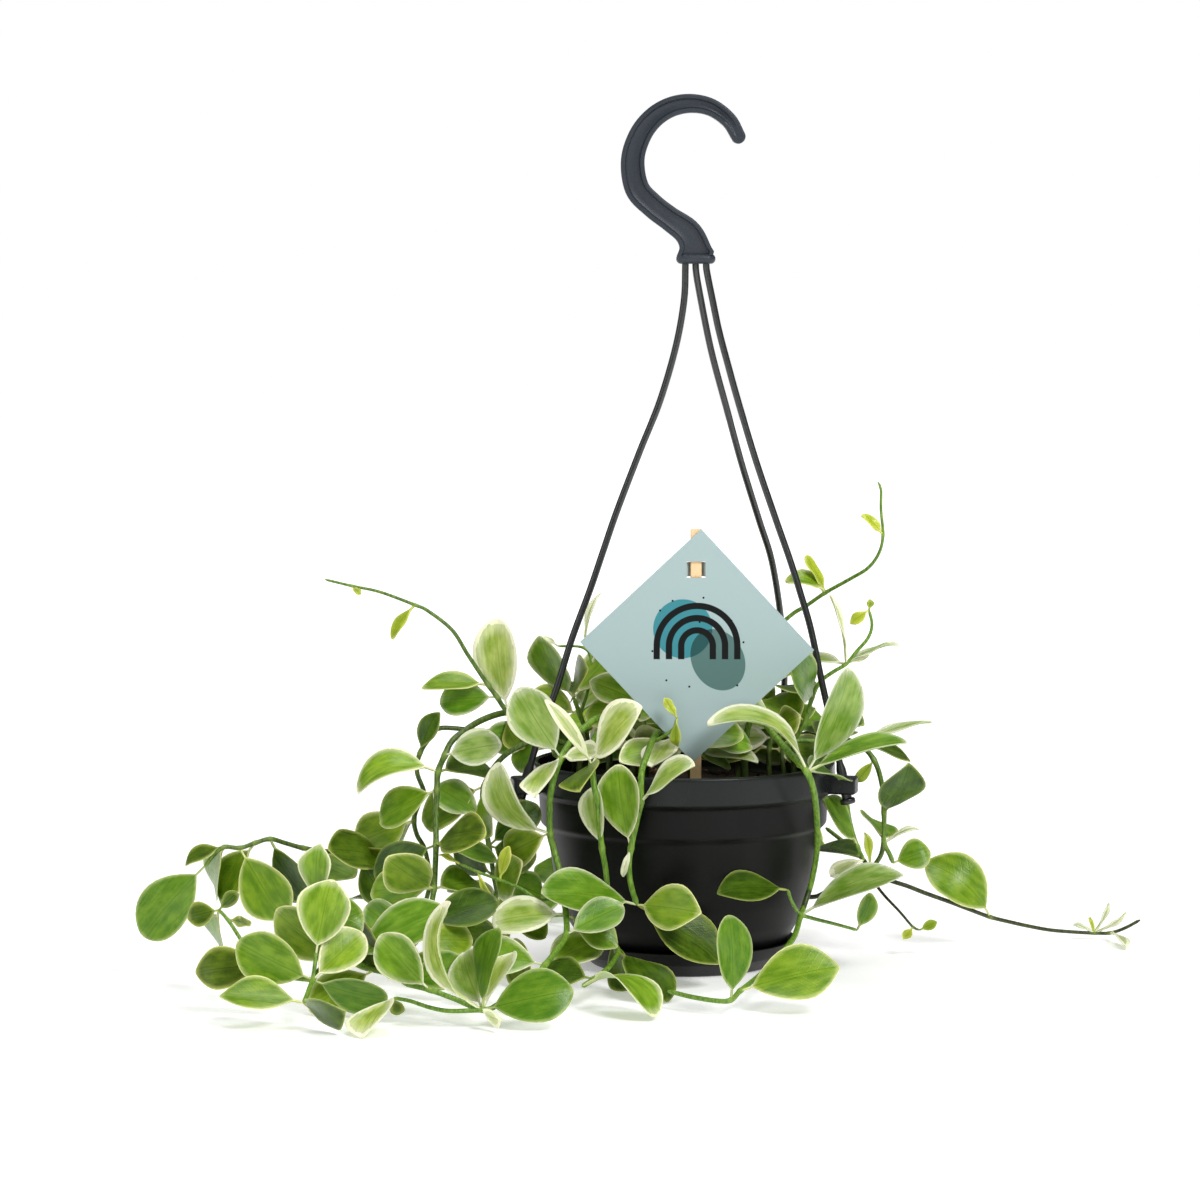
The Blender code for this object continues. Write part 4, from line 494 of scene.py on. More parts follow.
         (1.3, 0.9), [(3, 87.6, 8.8, 4, 0, "N"), (4, 101.2, 15.6, 4.5, 0, "N")]),
    ],
    "vine_back_arch": [
        ([(21.6, 87, 8), (20.8, 98, 16), (24, 112.4, 26), (30.4, 126.4, 32), (42.4, 138, 33),
          (48.8, 142, 32), (56.4, 147.2, 28), (66.4, 152.8, 22), (73.6, 157.2, 18),
          (78, 163.2, 16), (79.6, 170.4, 15), (78.8, 180.4, 15), (78.8, 188.4, 15),
          (77.6, 191.6, 15)],
         (2.2, 1.0), [(6, 40, 152.4, 7, 0, "Ga"), (6, 48.4, 162, 4, 0, "N"),
                      (10, 71.6, 179.2, 4, 0, "N"), (1, 6.4, 102.4, 12, 1, "G"),
                      (2, 12.8, 117.2, 10, 1, "E")]),
    ],
    "vine_rear_left": [
        ([(-18, 86, 30), (-22, 94, 44), (-26, 90, 60), (-30, 76, 67), (-32, 60, 66), (-34, 44, 64),
          (-36, 30, 62), (-38, 22, 66), (-44, 19, 80), (-54, 18, 92)],
         (2.4, 1.6), [(2, -48, 98, 15, 1, "E"), (2, -2, 90, 14, 1, "C"), (4, -52, 70, 15, 1, "G"),
                      (4, -8, 56, 15, 1, "E"), (6, -60, 38, 15, 1, "G"), (6, -14, 30, 14, 1, "D"),
                      (9, -80, 24, 15, 0, "G"), (9, -48, 32, 14, 1, "E")]),
    ],
    "crown_left": [
        ([(-38.4, 86, 14), (-39.2, 92, 14), (-41.6, 98.4, 13), (-44, 105.2, 12)],
         (2.2, 1.8), [(3, -58.4, 130, 13, -1, "E"), (3, -39.2, 117.2, 10, -1, "D"),
                      (2, -28.8, 111.6, 10, 1, "C"), (1, -17.6, 98, 9, 1, "G"),
                      (3, -52.8, 114, 8, 1, "D"), (0, -18, 84, 12, -0.6, "G"),
                      (0, -62, 84, 12, -0.3, "G"), (0, -24, 90, 12, 0.5, "D"),
                      (1, -62, 94, 14, 0.5, "E"), (2, -64, 106, 14, 0.6, "G"),
                      (1, -52, 82, 13, -0.7, "D"), (3, -26, 124, 13, 0.4, "E")]),
        ([(-41.6, 98.4, 13), (-38.4, 108.4, 14), (-36.8, 118.8, 17), (-40, 125.2, 19),
          (-50.4, 126, 19)],
         (1.4, 1.0), [(3, -34.4, 147.6, 1.6, 0, "C"), (2, -23.2, 142.8, 1.6, 0, "C"),
                      (4, -56, 130, 2, 0, "C")]),
    ],
    "crown_front": [
        ([(2.4, 84, -20), (0, 87.8, -22), (-2.6, 90.2, -22)],
         (2.0, 1.7), [(2, -12.8, 77.2, 13, -1, "C"), (1, 18.4, 76.4, 6, 0, "G"),
                      (2, -12.4, 108, 9, 1, "G"), (1, 12, 100, 11, 1, "E"),
                      (1, -28, 88, 13, 0.6, "C"), (2, 28, 86, 12, 0.4, "E"), (2, 20, 97, 13, 1, "D"),
                      (0, 30, 80, 11, -0.5, "C"), (0, -26, 80, 12, -0.4, "E"), (2, 24, 90, 13, 0.2, "G")]),
    ],
    "crown_right": [
        ([(34, 85, 0), (35.2, 89.2, 0), (36.8, 93.2, 0)],
         (2.2, 1.8), [(1, 20.4, 89.2, 11, 0, "C"), (2, 46.4, 98, 13, 0, "G"),
                      (2, 24.4, 95.6, 10, 1, "C"), (2, 32, 108.4, 10, 1, "E"),
                      (1, 46.4, 84.4, 12, 1, "D"), (0, 10, 84, 13, 0.4, "D"),
                      (2, 60, 94, 13, 0.6, "E"), (1, 56, 106, 12, 0.8, "G"), (2, 16, 106, 13, 0.8, "E"),
                      (0, 58, 82, 11, -0.4, "G"), (0, 8, 92, 12, 0.8, "C")]),
    ],
    "crown_rear": [
        ([(2, 86, 24), (0, 92, 26), (-2, 98, 28)],
         (2.2, 1.8), [(2, -22, 112, 14, 1, "E"), (2, 18, 116, 14, 1, "C"), (1, -20, 90, 14, 1, "G"),
                      (1, 22, 98, 13, 1, "D"), (2, 0, 124, 12, 0, "G"),
                      (1, -32, 98, 14, 0.5, "D"), (1, 32, 88, 14, 0.4, "G")]),
    ],
    "crown_middle": [
        ([(-15, 84, 2), (-15, 90, 0), (-16, 96, -2), (-17, 103, -3)],
         (2.2, 1.7), [(3, -38, 112, 13, 0, "E"), (3, 2, 114, 13, 0.2, "G"), (1, -38, 90, 14, 0.2, "C"),
                      (1, 8, 90, 12, -0.4, "E"), (2, -20, 120, 11, 1, "D"), (2, -2, 84, 12, -0.6, "G"),
                      (2, -40, 100, 14, 0.6, "G"), (0, -40, 82, 12, -0.3, "G"),
                      (3, -12, 100, 12, -0.8, "E")]),
    ],
    "crown_back_right": [
        ([(22, 85, 20), (24, 92, 20), (26, 100, 21), (27, 108, 22)],
         (2.2, 1.6), [(3, 50, 118, 13, 0.3, "G"), (3, 6, 120, 12, 0.3, "E"), (1, 48, 96, 13, 0.3, "D"),
                      (1, 0, 94, 12, 0.4, "G"), (2, 30, 128, 11, 1, "C"), (2, 46, 106, 14, 0.7, "E"),
                      (0, 46, 86, 13, 0.2, "C"), (0, 2, 86, 12, 0.6, "D"), (3, 36, 104, 12, -0.6, "G")]),
    ],
}


def front(across, height, depth):
    """The place in millimetres that the eye sees at (across, height) at a depth behind the pot's axis."""
    forward = Vector((0.0, math.cos(EYE_PITCH), -math.sin(EYE_PITCH)))
    upward = Vector((0.0, math.sin(EYE_PITCH), math.cos(EYE_PITCH)))
    distance = -EYE.y
    ray = (forward + Vector((1.0, 0.0, 0.0)) * (across - EYE.x) / distance
           + upward * (height - VIEW_HEIGHT) / distance)
    return EYE + ray * ((depth - EYE.y) / ray.y)


def curved(points, spacing):
    """Samples on a smooth curve through points, and the sample that each point falls on."""
    padded = [points[0] * 2 - points[1], *points, points[-1] * 2 - points[-2]]
    samples = []
    knots = []
    for a, b, c, d in zip(padded, padded[1:], padded[2:], padded[3:]):
        knots.append(len(samples))
        count = max(1, round((c - b).length / spacing))
        for step in range(count):
            t = step / count
            samples.append(0.5 * (2 * b + (c - a) * t + (2 * a - 5 * b + 4 * c - d) * t * t
                                  + (3 * b - a - 3 * c + d) * t ** 3))
    knots.append(len(samples))
    samples.append(points[-1])
    return samples, knots


def pot_outer(height):
    """The pot's outer radius at a height, the saucer's below it, and nothing above."""
    for (r0, z0), (r1, z1) in zip(POT_PROFILE, POT_PROFILE[1:]):
        if z0 <= height <= z1 and z1 > z0:
            return r0 + (r1 - r0) * (height - z0) / (z1 - z0)
    return SAUCER_REACH if height < POT_PROFILE[0][1] else 0.0


def leg_top(name):
    """Where a leg enters the hook's base, in millimetres."""
    x, y, z = BASE_CENTRE
    across, behind = LEG_SOCKETS[name]
    return Vector((x + across, y + behind, z - BASE_SIZE[2] / 2))


def leg_end(name):
    """The last straight stretch of a leg, from above its lug to below it."""
    turn = math.radians(LUG_ANGLES[name])
    lug = Vector((LUG_RADIUS * math.cos(turn), LUG_RADIUS * math.sin(turn), LUG_HEIGHT))
    way = (front(*LEG_ROUTES[name][-1]) - lug).normalized()
    return [lug + way * LEG_ABOVE_LUG, lug, lug - way * LEG_BELOW_LUG]


def leg_points(name):
    """A leg's middle line, from inside its socket to below its lug."""
    top = leg_top(name)
    route = [front(*point) for point in LEG_ROUTES[name]]
    inside = top + Vector((0, 0, SOCKET_DEPTH - SOCKET_GAP))
    samples, _ = curved([inside, top - Vector((0, 0, SOCKET_STRAIGHT)), *route], LEG_SPACING)
    return samples + leg_end(name)


def stick_place():
    """The stick's centre in plan, just behind the card."""
    card = front(*CARD_CENTRE)
    return Vector((card.x - 0.4, card.y + CARD_THICKNESS / 2 + 0.35 + STICK_SIZE[1] / 2, 0.0))


def stem_solids():
    """The legs, lugs and stick that stems keep clear of, as points and radii in millimetres."""
    points, radii = [], []
    for name in LUG_ANGLES:
        way = leg_points(name)
        for start, stop in zip(way, way[1:]):
            steps = max(1, round((stop - start).length / SOLID_STEP))
            for step in range(steps):
                points.append(start.lerp(stop, step / steps))
                radii.append(LEG_RADIUS)
        for height in LUG_HEIGHTS:
            points.append(way[-2] + Vector((0, 0, height)))
            radii.append(LUG_BULK)
    spot = stick_place()
    for height in np.arange(STICK_FOOT, STICK_TOP, SOLID_STEP):
        points.append(Vector((spot.x, spot.y, height)))
        radii.append(STICK_BULK)
    return points, radii


def push_from_pot(point, radius):
    """How a stem point moves to stay off the pot's wall, rim and soil."""
    reach = math.hypot(point.x, point.y)
    if reach < RIM_INSIDE:
        return Vector((0, 0, max(0.0, SOIL_TOP + SOIL_GAP + radius - point.z)))
    over = POT_HEIGHT + radius + POT_GAP - point.z
    if over <= 0:
        return Vector()
    wide = pot_outer(max(point.z, 0.0)) + radius + POT_GAP - reach
    if point.z > RIM_FOOT:
        wide = max(wide, LIP_RADIUS + radius + POT_GAP - reach)
    if wide <= 0:
        return Vector()
    if over < wide:
        return Vector((0, 0, over))
    return Vector((point.x, point.y, 0.0)) / reach * wide


def push_from_solids(point, radius, fixed, bulk):
    """How a stem point moves to stay off the nearest thin solid or stem, and how deep it stood in it."""
    away = np.array(tuple(point)) - fixed
    need = bulk + radius + CLEARANCE - np.sqrt((away ** 2).sum(axis=1))
    nearest = int(need.argmax())
    depth = float(need[nearest])
    if depth <= 0:
        return Vector(), 0.0
    way = Vector(away[nearest])
    way.z *= PUSH_RISE
    way = way.normalized() if way.length > 0.01 else Vector((0, -1, 0))
    return way * depth, depth


def keep_clear(samples, radii, points, sizes, pinned):
    """Bend a stem clear of what stands near it, of the pot and of the ground."""
    fixed = np.array([tuple(point) for point in points])
    bulk = np.array(sizes)
    for _ in range(SETTLING_ROUNDS):
        moves = [Vector() for _ in samples]
        worst = 0.0
        for index in range(pinned, len(samples)):
            sample, radius = samples[index], radii[index]
            move, depth = push_from_solids(sample, radius, fixed, bulk)
            wall = push_from_pot(sample, radius)
            low = radius + GROUND_GAP - sample.z
            moves[index] = move + wall
            if low > 0:
                moves[index] += Vector((0, 0, low))
            worst = max(worst, depth, wall.length, low)
        if worst < SETTLED:
            break
        for index in range(pinned, len(samples)):
            beside = [moves[near] for near in (index - 1, index + 1) if 0 <= near < len(samples)]
            shared = sum(beside, Vector()) * PUSH_BESIDE
            samples[index] = samples[index] + moves[index] * PUSH_TAKEN + shared
    return samples


def rooted(places):
    """A first stem's places with its root in the soil below them."""
    foot = places[0]
    bottom = Vector((foot.x, foot.y, SOIL_TOP - HOLE_DEPTH + ROOT_GAP))
    neck = Vector((foot.x, foot.y, SOIL_TOP + NECK_RISE))
    start = foot if foot.z > SOIL_TOP + START_RISE else foot + Vector((0, 0, START_LIFT))
    return [bottom, neck, start, *places[1:]]


def grow_stems():
    """Every stem's samples, radii and route knots, settled in order."""
    points, sizes = stem_solids()
    grown = {}
    for vine, stems in VINES.items():
        grown[vine] = []
        added = []
        for order, (route, (thick, thin), _) in enumerate(stems):
            places = [front(*point) for point in route]
            if order == 0:
                samples, knots = curved(rooted(places), STEM_SPACING)
                knots = knots[2:]
                pinned = knots[0]
            else:
                main = grown[vine][0][0]
                places[0] = min(main, key=lambda spot: (spot - places[0]).length)
                samples, knots = curved(places, STEM_SPACING)
                pinned = 1
            radii = [(thick + (thin - thick) * i / (len(samples) - 1)) / 2 for i in range(len(samples))]
            samples = keep_clear(samples, radii, points, sizes, pinned)
            grown[vine].append((samples, radii, knots))
            for start, stop, radius in zip(samples, samples[1:], radii):
                steps = max(1, round((stop - start).length / GROWN_STEP))
                added += [(start.lerp(stop, step / steps), radius) for step in range(steps)]
        points = points + [spot for spot, _ in added]
        sizes = sizes + [radius for _, radius in added]
    return grown


class Blade:
    """One leaf in its pose: where each place of its surface lies, in millimetres."""

    def __init__(self, base, tip, seen_width, kind, extra_roll, scale):
        self.base = base
        self.kind = kind
        self.plan = SLIM_PLAN if seen_width <= SLIM_WIDTH else LEAF_PLAN
        tip = base.lerp(tip, scale)
        for _ in range(LIFT_TRIES):
            self.lie_along(tip, seen_width * scale, math.radians(extra_roll))
            lowest = min(point.z for row in self.rows() for point, _, _ in row)
            if lowest >= FLOOR_CLEAR:
                break
            tip = tip + Vector((0.0, 0.0, LIFT_STEP * (FLOOR_CLEAR - lowest)))

    def lie_along(self, tip, seen_width, extra_roll):
        """Turn the blade about its midrib until the eye sees the width that is asked for."""
        self.axis = tip - self.base
        self.length = self.axis.length
        self.along = self.axis.normalized()
        facing = (EYE - self.base).normalized()
        normal = facing - self.along * facing.dot(self.along)
        normal = normal.normalized() if normal.length > 0.15 else Vector((0, 0, 1))
        share = WIDTH_SHARE["N" if self.kind[0] == "N" else "C"]
        self.width = max(seen_width, share * self.length)
        if seen_width < EDGE_ON:
            self.width = max(seen_width, min(EDGE_ON_SHARE * self.length, EDGE_ON_MOST))
        roll = max(math.acos(min(1.0, seen_width / self.width)), LEAST_ROLL)
        turns = [Matrix.Rotation(side * roll, 3, self.along) @ normal for side in (1.0, -1.0)]
        outward = Vector((self.base.x, self.base.y, FACING_RISE)).normalized()
        self.normal = max(turns, key=outward.dot)
        self.normal = Matrix.Rotation(extra_roll, 3, self.along) @ self.normal
        self.side = self.along.cross(self.normal).normalized()
        self.bow = (ARCHED_BOW if self.kind.endswith("a") else BOW) * self.length

    def half(self, x, least):
        """Half the blade's width at a share of the length: a stalk, then a pointed oval."""
        blade = max(0.0, (x - STALK_SHARE) / (1.0 - STALK_SHARE))
        shape = blade ** OVAL[0] * max(0.0, 1.0 - blade) ** OVAL[1] / OVAL_PEAK
        return max(self.width / 2 * shape, STALK_HALF_WIDTH if x <= STALK_SHARE else least)

    def frame(self, x):
        """The midrib's point at a share of the length, and the way the blade faces there."""
        centre = self.base + self.axis * x + self.normal * (4 * x * (1 - x) * self.bow)
        slope = (self.along * self.length + self.normal * (4 * (1 - 2 * x) * self.bow)).normalized()
        facing = self.side.cross(slope).normalized()
        return centre, facing if facing.dot(self.normal) >= 0 else -facing

    def rows(self):
        """The coarse surface, from stalk to tip, as rows of (point, normal, column)."""
        rows = []
        for x, columns in self.plan:
            half = self.half(x, LEAST_HALF_WIDTH)
            centre, facing = self.frame(x)
            row = []
            for column in columns:
                lift = facing * (CUP[self.kind[0]] * half * column * column)
                row.append((centre + self.side * (half * column) + lift, facing, column))
            rows.append(row)
        return rows


def leaf_rows(*pose):
    """A leaf's coarse surface, kept off the ground."""
    rows = Blade(*pose).rows()
    for row in rows:
        for point, _, _ in row:
            point.z = max(point.z, FLOOR_CLEAR)
    return rows


def slab(rows, thickness):
    """A closed thin solid on both sides of a leaf's surface, split alike on both faces."""
    verts = []
    for side in (0.5, -0.5):
        for row in rows:
            for point, normal, _ in row:
                spot = point + normal * (thickness * side)
                verts.append(Vector((spot.x, spot.y, max(spot.z, SLAB_LOWEST))))
    starts = [sum(len(row) for row in rows[:index]) for index in range(len(rows))]
    back = starts[-1] + len(rows[-1])
    faces = []
    for near, far, first, second in zip(rows, rows[1:], starts, starts[1:]):
        i, j = 0, 0
        while i < len(near) - 1 or j < len(far) - 1:
            a, b = first + i, second + j
            if j == len(far) - 1 or (i < len(near) - 1 and near[i + 1][2] <= far[j + 1][2]):
                corner, i = (a, a + 1, b), i + 1
            else:
                corner, j = (a, b + 1, b), j + 1
            faces += [corner, tuple(back + spot for spot in reversed(corner))]
    rim = list(range(len(rows[0])))
    rim += [start + len(row) - 1 for start, row in zip(starts[1:], rows[1:])]
    rim += [starts[-1] + column for column in range(len(rows[-1]) - 2, -1, -1)]
    rim += starts[-2:0:-1]
    for a, b in zip(rim, rim[1:] + rim[:1]):
        faces += [(b, a, back + a), (b, back + a, back + b)]
    return verts, faces


def leaf_tip(base, across, height, lean, kind):
    """A leaf's tip, as far back or forward as its true length and the ground allow."""
    flat = front(across, height, base.y)
    seen = (flat - base).length
    true = NEW_LEAF_LENGTH if kind[0] == "N" else LEAF_LENGTH
    tip = front(across, height, base.y + math.sqrt(max(0.0, true * true - seen * seen)) * lean)
    if tip.z >= FLOOR_CLEAR + TIP_CLEAR:
        return tip
    drop = (tip - EYE) / (tip - EYE).z
    grounded = EYE + drop * (FLOOR_CLEAR + TIP_CLEAR - EYE.z)
    way = grounded - base
    return base + way * min(1.0, true / way.length)


def bounds_of(points):
    low = Vector([min(point[axis] for point in points) for axis in range(3)])
    high = Vector([max(point[axis] for point in points) for axis in range(3)])
    return low, high


class Crowd:
    """What stands round the leaves: each solid's surface tree with its box and its owner."""

    def __init__(self):
        self.items = []

    def add(self, verts, faces, owner):
        if verts:
            self.items.append((BVHTree.FromPolygons(verts, faces), *bounds_of(verts), owner))

    def touches(self, verts, faces, ignore=None):
        tree = BVHTree.FromPolygons(verts, faces)
        low, high = bounds_of(verts)
        for other, other_low, other_high, owner in self.items:
            if owner == ignore:
                continue
            if any(low[i] > other_high[i] or high[i] < other_low[i] for i in range(3)):
                continue
            if tree.overlap(other):
                return True
        return False


def settle_leaf(base, leaf, vine, crowd, inner):
    """The first pose near the wanted one that is clear of all else, or None where there is none."""
    _, across, height, width, lean, kind = leaf
    tip = leaf_tip(base, across, height, lean, kind)
    for scale, (shift, roll) in product(SCALES, MOVES):
        pose = (base, front(across, height, tip.y + shift), width, kind, roll, scale)
        rows = leaf_rows(*pose)
        if crowd.touches(*slab(rows, LEAF_THICKNESS + LEAF_GAP), ignore=vine):
            continue
        if inner.touches(*slab(rows[1:], LEAF_THICKNESS)):
            continue
        return pose
    return None


def stem_mesh_points(samples, radii):
    """A plain tube of triangles round a stem, for the clearance of leaves."""
    verts, faces = [], []
    for index, (sample, radius) in enumerate(zip(samples, radii)):
        along = samples[min(index + 1, len(samples) - 1)] - samples[max(index - 1, 0)]
        turn = along.to_track_quat("Z", "Y")
        for corner in range(HULL_SIDES):
            angle = 2 * math.pi * corner / HULL_SIDES
            around = Vector((math.cos(angle), math.sin(angle), 0.0)) * (radius + STEM_GAP)
            verts.append(sample + turn @ around)
    for a, b, c, d in band_faces(len(samples), HULL_SIDES):
        faces += [(a, b, c), (a, c, d)]
    return verts, faces


def grow_leaves(grown, pieces):
    """Each vine's settled leaf poses, with the hard pieces given as meshes in metres."""
    crowd = Crowd()
    for piece in pieces:
        verts = [vertex.co / MM for vertex in piece.vertices]
        crowd.add(verts, [tuple(face.vertices) for face in piece.polygons], "pot")
    for vine, stems in grown.items():
        for samples, radii, _ in stems:
            crowd.add(*stem_mesh_points(samples, radii), vine)
    poses = {}
    for vine, stems in grown.items():
        inner = Crowd()
        poses[vine] = []
        for (samples, _, knots), (_, _, leaves) in zip(stems, VINES[vine]):
            for leaf in leaves:
                base = samples[knots[min(leaf[0], len(knots) - 1)]]
                pose = settle_leaf(base, leaf, vine, crowd, inner)
                if pose is None:
                    continue
                poses[vine].append(pose)
                rows = leaf_rows(*pose)
                crowd.add(*slab(rows, LEAF_THICKNESS), vine)
                inner.add(*slab(rows[1:], LEAF_THICKNESS), "leaf")
    return poses


def srgb(red, green, blue):
    """A colour read off a screen, as the linear numbers that a shader takes."""
    linear = []
    for value in (red, green, blue):
        share = value / 255
        linear.append(share / 12.92 if share <= 0.04045 else ((share + 0.055) / 1.055) ** 2.4)
    return (*linear, 1.0)


class Graph:
    """Short ways to add nodes to a tree and to wire them."""

    def __init__(self, tree):
        self.tree = tree

    def add(self, kind, **settings):
        node = self.tree.nodes.new(kind)
        for name, value in settings.items():
            setattr(node, name, value)
        return node

    def wire(self, value, socket):
        """Link an output to a socket, or set the socket to a plain value."""
        if isinstance(value, bpy.types.NodeSocket):
            self.tree.links.new(value, socket)
        else:
            socket.default_value = value

    def math(self, operation, first, second=0.0, clamp=False):
        node = self.add("ShaderNodeMath", operation=operation, use_clamp=clamp)
        self.wire(first, node.inputs[0])
        self.wire(second, node.inputs[1])
        return node.outputs[0]

    def vector(self, *values):
        node = self.add("ShaderNodeCombineXYZ")
        for value, socket in zip(values, node.inputs):
            self.wire(value, socket)
        return node.outputs[0]

    def scaled(self, vector, scale):
        node = self.add("ShaderNodeVectorMath", operation="MULTIPLY")
        self.wire(vector, node.inputs[0])
        node.inputs[1].default_value = scale
        return node.outputs[0]

    def split(self, vector):
        node = self.add("ShaderNodeSeparateXYZ")
        self.wire(vector, node.inputs[0])
        return node.outputs

    def mix(self, share, first, second):
        node = self.add("ShaderNodeMix", data_type="RGBA")
        self.wire(share, node.inputs["Factor"])
        self.wire(first, node.inputs[6])
        self.wire(second, node.inputs[7])
        return node.outputs[2]

    def tones(self, share, pair):
        """A mix of two colours given as read off a screen."""
        return self.mix(share, *[srgb(*colour) for colour in pair])

    def noise(self, vector, scale, detail=2.0, rough=0.5):
        node = self.add("ShaderNodeTexNoise")
        self.wire(vector, node.inputs["Vector"])
        node.inputs["Scale"].default_value = scale
        node.inputs["Detail"].default_value = detail
        node.inputs["Roughness"].default_value = rough
        return node.outputs["Fac"]

    def rise(self, value, low, high, bottom=0.0, top=1.0):
        """A soft step: bottom below low, top above high."""
        node = self.add("ShaderNodeMapRange", interpolation_type="SMOOTHSTEP")
        for given, name in ((value, "Value"), (low, "From Min"), (high, "From Max"),
                            (bottom, "To Min"), (top, "To Max")):
            self.wire(given, node.inputs[name])
        return node.outputs["Result"]

    def attribute(self, name):
        return self.add("ShaderNodeAttribute", attribute_name=name).outputs["Fac"]

    def place(self):
        """Object coordinates in millimetres."""
        return self.scaled(self.add("ShaderNodeTexCoord").outputs["Object"], (1000.0, 1000.0, 1000.0))

    def bump(self, height, distance):
        node = self.add("ShaderNodeBump")
        node.inputs["Strength"].default_value = 1.0
        node.inputs["Distance"].default_value = distance
        self.wire(height, node.inputs["Height"])
        return node.outputs["Normal"]


def new_group(name, inputs, outputs):
    """An empty shader group with its sockets, and the nodes that stand for them inside."""
    tree = bpy.data.node_groups.new(name, "ShaderNodeTree")
    for label, kind, value in inputs:
        socket = tree.interface.new_socket(label, in_out="INPUT", socket_type=kind)
        socket.default_value = value
    for label, kind in outputs:
        tree.interface.new_socket(label, in_out="OUTPUT", socket_type=kind)
    graph = Graph(tree)
    return graph, graph.add("NodeGroupInput").outputs, graph.add("NodeGroupOutput").inputs


def new_material(name, roughness, specular):
    """A material with its graph and its shader's sockets."""
    made = bpy.data.materials.new(name)
    made.use_nodes = True
    shader = made.node_tree.nodes["Principled BSDF"]
    shader.inputs["Roughness"].default_value = roughness
    shader.inputs["Specular IOR Level"].default_value = specular
    return made, Graph(made.node_tree), shader.inputs


def use_group(graph, group, **values):
    """A group placed in a material with its own values, and its outputs."""
    node = graph.add("ShaderNodeGroup", node_tree=group)
    for name, value in values.items():
        graph.wire(value, node.inputs[name])
    return node.outputs


def moulded_group():
    """Moulded plastic: a fine grain, soft flow marks and a little dust in the colour."""
    graph, given, result = new_group("moulded_plastic", [
        ("Vector", "NodeSocketVector", (0.0, 0.0, 0.0)),
        ("Colour", "NodeSocketColor", (0.02, 0.02, 0.02, 1.0)),
        ("Dust", "NodeSocketColor", (0.05, 0.05, 0.05, 1.0)), ("Rough", "NodeSocketFloat", 0.4),
    ], [("Colour", "NodeSocketColor"), ("Rough", "NodeSocketFloat"), ("Height", "NodeSocketFloat")])
    place = given["Vector"]
    flow = graph.noise(graph.scaled(place, (0.05, 0.05, 0.012)), 1.0, 4.0, 0.6)
    grain = graph.noise(place, 2.6, 2.0)
    specks = graph.rise(graph.noise(place, 0.9, 5.0, 0.75), 0.66, 0.78)
    dusty = graph.math("MULTIPLY", graph.rise(flow, 0.42, 0.7), 0.3)
    share = graph.math("ADD", dusty, graph.math("MULTIPLY", specks, 0.25), clamp=True)
    graph.wire(graph.mix(share, given["Colour"], given["Dust"]), result["Colour"])
    swing = graph.math("MULTIPLY", graph.math("SUBTRACT", flow, 0.5), 0.26)
    graph.wire(graph.math("ADD", given["Rough"], swing), result["Rough"])
    graph.wire(graph.math("ADD", grain, graph.math("MULTIPLY", flow, 1.5)), result["Height"])
    return graph.tree


def plastic(name, group):
    """One of the plain plastics, by its row in PLASTICS."""
    colour, dust, roughness, specular = PLASTICS[name]
    made, graph, shader = new_material(name, roughness, specular)
    look = use_group(graph, group, Vector=graph.place(), Colour=srgb(*colour), Dust=srgb(*dust),
                     Rough=roughness)
    graph.wire(look["Colour"], shader["Base Color"])
    graph.wire(look["Rough"], shader["Roughness"])
    graph.wire(graph.bump(look["Height"], 0.00006), shader["Normal"])
    return made


def pot_material(group):
    """The pot's plastic: matt below and glossier round the lip, where a touch lighter colour is a painted
    sheen.
    """
    made, graph, shader = new_material("pot_plastic", roughness=0.4, specular=0.16)
    place = graph.place()
    lip = graph.rise(graph.split(place)[2], LIP_FOOT - 0.6, LIP_FOOT)
    # The lighter black at the lip is a painted sheen; its lower roughness there is real gloss
    look = use_group(graph, group, Vector=place, Colour=graph.tones(lip, (POT_BLACK, LIP_PAINTED_SHEEN)),
                     Dust=srgb(*POT_DUST), Rough=graph.rise(lip, 0.0, 1.0, 0.42, 0.26))
    graph.wire(look["Colour"], shader["Base Color"])
    graph.wire(look["Rough"], shader["Roughness"])
    graph.wire(graph.bump(look["Height"], 0.00005), shader["Normal"])
    return made


def leaf_side_veins(graph, from_rib, along, clouds):
    """Faint veins that sweep from the midrib towards the tip."""
    swept = graph.math("SUBTRACT", along, graph.math("MULTIPLY", from_rib, 0.9))
    ripple = graph.math("SINE", graph.math("MULTIPLY", swept, 1.75))
    return graph.math("MULTIPLY", graph.rise(ripple, 0.72, 1.0), graph.math("MULTIPLY", clouds, 0.1))


def leaf_green(graph, given, from_rib, streaks, clouds, side_veins):
    """The blade's green: blotched, pale beside the midrib, and with a thin dark line of painted shade in its
    crease.
    """
    blotch = graph.math("ADD", graph.math("MULTIPLY", streaks, 0.35), graph.math("MULTIPLY", clouds, 0.65))
    green = graph.mix(graph.rise(blotch, 0.34, 0.68), given["Dark"], given["Light"])
    veins = graph.math("MAXIMUM", graph.rise(from_rib, 0.3, 1.5, 0.4, 0.0), side_veins)
    green = graph.mix(veins, green, given["Light"])
    # A thin dark line along the midrib is painted shade in its crease
    return graph.mix(graph.rise(from_rib, 0.08, 0.32, 0.75, 0.0), green, given["Dark"])


def leaf_margin(graph, given, rim, tone, streaks):
    """How much cream shows at a distance from the rim: a ragged band and a soft halo inside it."""
    swell = graph.math("ADD", graph.math("MULTIPLY", tone, 0.8), 0.6)
    width = graph.math("MULTIPLY", given["Margin"], swell)
    wander = graph.math("MULTIPLY", graph.math("SUBTRACT", streaks, 0.5), given["Ragged"])
    edge = graph.math("SUBTRACT", rim, graph.math("ADD", width, graph.math("MULTIPLY", wander, 2.0)))
    reach = graph.math("ADD", graph.math("MULTIPLY", width, 1.8), 0.9)
    halo = graph.rise(edge, 0.0, reach, 0.42, 0.0)
    return graph.math("MAXIMUM", halo, graph.rise(edge, -0.12, 0.12, 0.95, 0.0))


